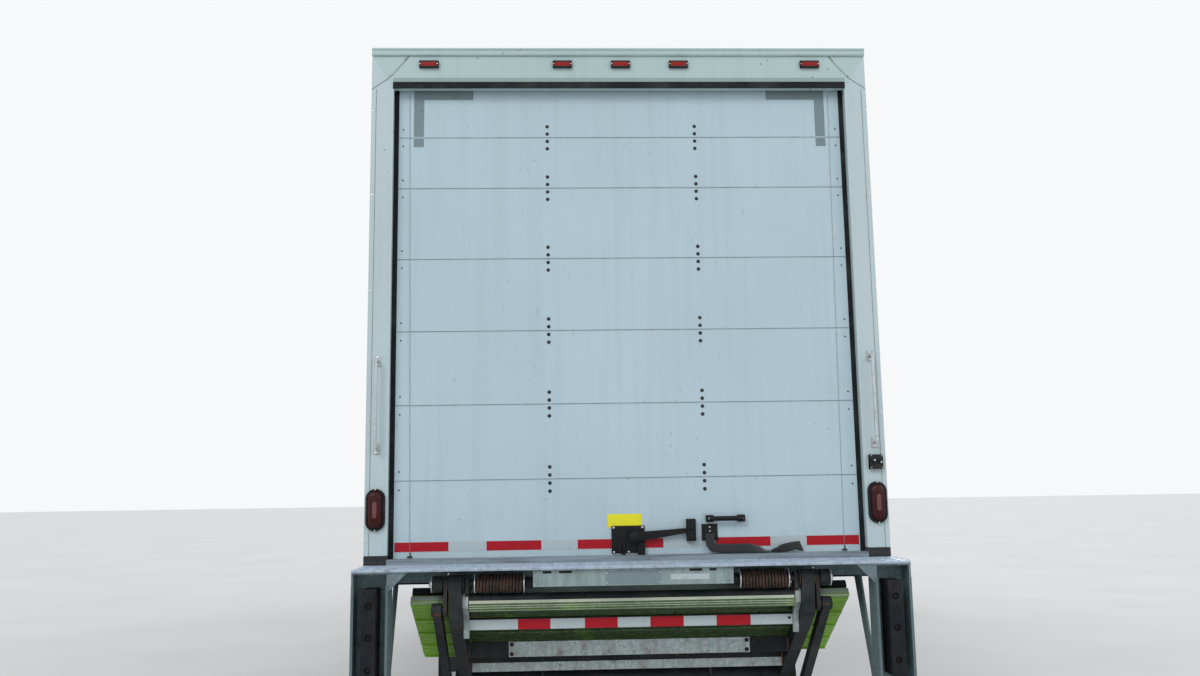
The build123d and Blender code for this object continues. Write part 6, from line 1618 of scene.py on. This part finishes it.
def stuffed(name, low, high, place, lean, channels):
    """A cushion from a slightly small block, blown up by a short cloth run and then sewn into channels."""
    made_from = Piece(name + "_block", seat_vinyl)
    made_from.turn = Matrix.Translation(place) @ Matrix.Rotation(lean, 4, "X")
    made_from.box(*zip(low, high))
    mesh = bpy.data.meshes.new(name)
    mesh.from_pydata([tuple(corner) for corner in made_from.corners], [], made_from.faces)
    mesh.validate()
    pad = bpy.data.objects.new(name, mesh)
    bpy.context.scene.collection.objects.link(pad)
    rounding = pad.modifiers.new("rounding", "BEVEL")
    rounding.width, rounding.segments = 0.028, 3
    remesh = pad.modifiers.new("voxels", "REMESH")
    remesh.mode, remesh.voxel_size = "VOXEL", 0.011
    freeze(pad)
    start = [vertex.co.copy() for vertex in pad.data.vertices]
    settings = pad.modifiers.new("cloth", "CLOTH").settings
    settings.quality = 4
    settings.use_pressure = True
    settings.uniform_pressure_force = 4.0
    settings.effector_weights.gravity = 0.0
    settings.tension_stiffness = 12.0
    settings.bending_stiffness = 0.8
    for step in range(1, 21):
        bpy.context.scene.frame_set(step)
    freeze(pad)
    bpy.context.scene.frame_set(1)
    flat = made_from.turn.inverted()
    middle = Vector([(low[axis] + high[axis]) / 2 for axis in range(3)])
    half = Vector([(high[axis] - low[axis]) / 2 for axis in range(3)])
    most_push, groove, welt = 0.011, 0.009, 0.78
    for vertex, first in zip(pad.data.vertices, start):
        moved = vertex.co - first
        if moved.length > most_push:
            moved = moved.normalized() * most_push
        local = flat @ (first + moved)
        share = local - middle
        if share.z > 0:
            round_x, round_y = (1 - min(1.0, abs(share[axis]) / half[axis]) ** 4 for axis in (0, 1))
            local.z += 0.010 * round_x * round_y
            ends = max(0.0, 1 - (abs(share.x) / (half.x * 0.80)) ** 12)
            for line in channels:
                gap = (local.y - middle.y) / half.y - line
                local.z -= 0.010 * math.exp(-(gap * half.y / groove) ** 2) * ends
            for side in (-1, 1):
                local.z -= groove * math.exp(-((share.x - side * half.x * welt) / groove) ** 2)
        vertex.co = made_from.turn @ local
    for paint in (seat_vinyl, seat_cloth):
        pad.data.materials.append(paint)
    for face in pad.data.polygons:
        local = flat @ face.center - middle
        face.material_index = 1 if abs(local.x) < half.x * welt and local.z > 0 else 0
    smooth(pad.data)
    finer = pad.modifiers.new("finer", "SUBSURF")
    finer.levels = finer.render_levels = 1
    freeze(pad)
    smooth(pad.data)
    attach(pad, "truck")
    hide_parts("seats")

    tree = BVHTree.FromObject(pad, bpy.context.evaluated_depsgraph_get())
    piping = Piece(name + "_piping", black_rubber, slot="black_rubber")
    for level in (0.30, -0.55):
        ring = rounded([(middle.x + half.x * 1.1 * across, middle.y + half.y * 1.1 * along, 0)
                        for across, along in ((-1, -1), (1, -1), (1, 1), (-1, 1))], 0.05, 5)
        line = []
        for index, point in enumerate(ring):
            after = ring[(index + 1) % len(ring)]
            parts = max(1, int((after - point).length / 0.03))
            for part in range(parts):
                spot = point.lerp(after, part / parts)
                spot.z = middle.z + half.z * level
                line.append(tree.find_nearest(made_from.turn @ spot)[0])
        piping.tube(line, 0.0034, 6, closed=True)
    piping.done()


def seats():
    bases = Piece("seat_bases", black_plastic, slot="black_plastic")
    for low_x, high_x in ((-0.680, -0.180), (0.010, 0.790)):
        bases.use(black_plastic).box((low_x + 0.045, high_x - 0.045), (3.105, 3.415), (1.178, 1.430))
        for x, z in product((low_x + 0.040, high_x - 0.044), (1.22, 1.28, 1.34, 1.40)):
            bases.box((x, x + 0.004), (3.140, 3.380), about(z, 0.006))
        bases.use(latch_black).box((low_x + 0.020, high_x - 0.020), (3.080, 3.545), (1.430, 1.448))
        bases.box((low_x + 0.030, high_x - 0.030), (3.022, 3.036), (1.500, 2.080))
        for x in (low_x + 0.060, high_x - 0.075):
            bases.box((x, x + 0.015), (3.022, 3.120), (1.440, 1.520))
        bases.use(bright_zinc)
        for x in (low_x + 0.10, high_x - 0.10):
            bases.rod((x, 3.100, 1.1835), (x, 3.500, 1.1835), 0.006, 8)
    bases.done(0.003, replaces=["seats"])
    for name, low_x, high_x in (("driver", -0.668, -0.192), ("bench", 0.022, 0.778)):
        half, middle_x = (high_x - low_x) / 2, (high_x + low_x) / 2
        for part, deep, thick, y, z, lean, channels in (
            ("_cushion", 0.222, 0.040, 3.328, 1.502, 1.5, (-0.5, -0.17, 0.17, 0.5)),
            ("_backrest", 0.285, 0.042, 3.088, 1.868, -94.0, (-0.55, -0.2, 0.15, 0.5)),
        ):
            stuffed(name + part, (-half, -deep, -thick), (half, deep, thick), (middle_x, y, z),
                    math.radians(lean), channels)


cab_inside()
steering_wheel()
seats()


# Floor, lamps and the photograph's camera
def studio():
    reach = 90
    floor_mesh = bpy.data.meshes.new("floor")
    corners = [(-reach, -reach, 0), (reach, -reach, 0), (reach, reach, 0), (-reach, reach, 0)]
    floor_mesh.from_pydata(corners, [], [(0, 1, 2, 3)])
    floor = bpy.data.objects.new("floor", floor_mesh)
    bpy.context.scene.collection.objects.link(floor)
    concrete = Paint("floor_paint", (0.60, 0.60, 0.59), 0.85)
    concrete.layer(concrete.noise(0.6, detail=8.0), (0.55, 0.55, 0.545), 0.9, 0.6)
    floor_mesh.materials.append(concrete.bump(concrete.noise(40.0, detail=6.0), 0.1, 0.002).done())

    world = bpy.data.worlds.new("sky")
    bpy.context.scene.world = world
    world.use_nodes = True
    tree = world.node_tree
    sky_light = tree.nodes["Background"]
    sky_seen = tree.nodes.new("ShaderNodeBackground")
    for node, colour, strength in ((sky_light, (0.90, 0.94, 1.0, 1.0), 0.55),
                                   (sky_seen, (0.93, 0.94, 0.95, 1.0), 1.0)):
        node.inputs["Color"].default_value = colour
        node.inputs["Strength"].default_value = strength
    # The brighter sky is what the camera, glass and mirrors see; the other one lights the scene
    path = tree.nodes.new("ShaderNodeLightPath")
    seen = path.outputs["Is Camera Ray"]
    for ray in ("Is Transmission Ray", "Is Glossy Ray"):
        either = tree.nodes.new("ShaderNodeMath")
        either.operation = "MAXIMUM"
        tree.links.new(seen, either.inputs[0])
        tree.links.new(path.outputs[ray], either.inputs[1])
        seen = either.outputs["Value"]
    blend = tree.nodes.new("ShaderNodeMixShader")
    tree.links.new(seen, blend.inputs["Fac"])
    tree.links.new(sky_light.outputs["Background"], blend.inputs[1])
    tree.links.new(sky_seen.outputs["Background"], blend.inputs[2])
    tree.links.new(blend.outputs["Shader"], tree.nodes["World Output"].inputs["Surface"])

    for name, place, power, spread in (
        ("key", (-9.0, -15.0, 13.0), 1.10, 24),
        ("fill", (11.0, -12.0, 7.0), 0.45, 40),
        ("front", (6.0, 17.0, 12.0), 1.05, 30),
        ("left_side", (-16.0, 1.0, 9.0), 0.45, 40),
        ("right_side", (16.0, 1.0, 9.0), 0.50, 40),
    ):
        lamp = bpy.data.lights.new(name, "SUN")
        lamp.angle = math.radians(spread)
        lamp.energy = power
        made = bpy.data.objects.new(name, lamp)
        made.location = place
        made.rotation_euler = (-Vector(place)).to_track_quat("-Z", "Y").to_euler()
        bpy.context.scene.collection.objects.link(made)


def camera():
    yaw, pitch, roll = (math.radians(angle) for angle in (2.16, 8.27, -0.87))
    forward = Vector((math.sin(yaw) * math.cos(pitch), math.cos(yaw) * math.cos(pitch), math.sin(pitch)))
    level = Vector((math.cos(yaw), -math.sin(yaw), 0))
    above = level.cross(forward)
    frame_right = math.cos(roll) * level + math.sin(roll) * above
    frame_up = -math.sin(roll) * level + math.cos(roll) * above
    lens = bpy.data.cameras.new("photo_camera")
    lens.lens, lens.sensor_width, lens.clip_end = 30.6, 36.0, 300.0
    made = bpy.data.objects.new("photo_camera", lens)
    place = Matrix((frame_right, frame_up, -forward)).transposed().to_4x4()
    place.translation = (-0.321, -10.329, 1.609)
    made.matrix_world = place
    bpy.context.scene.collection.objects.link(made)
    bpy.context.scene.camera = made
    bpy.context.scene.view_settings.view_transform = "Standard"


studio()
camera()
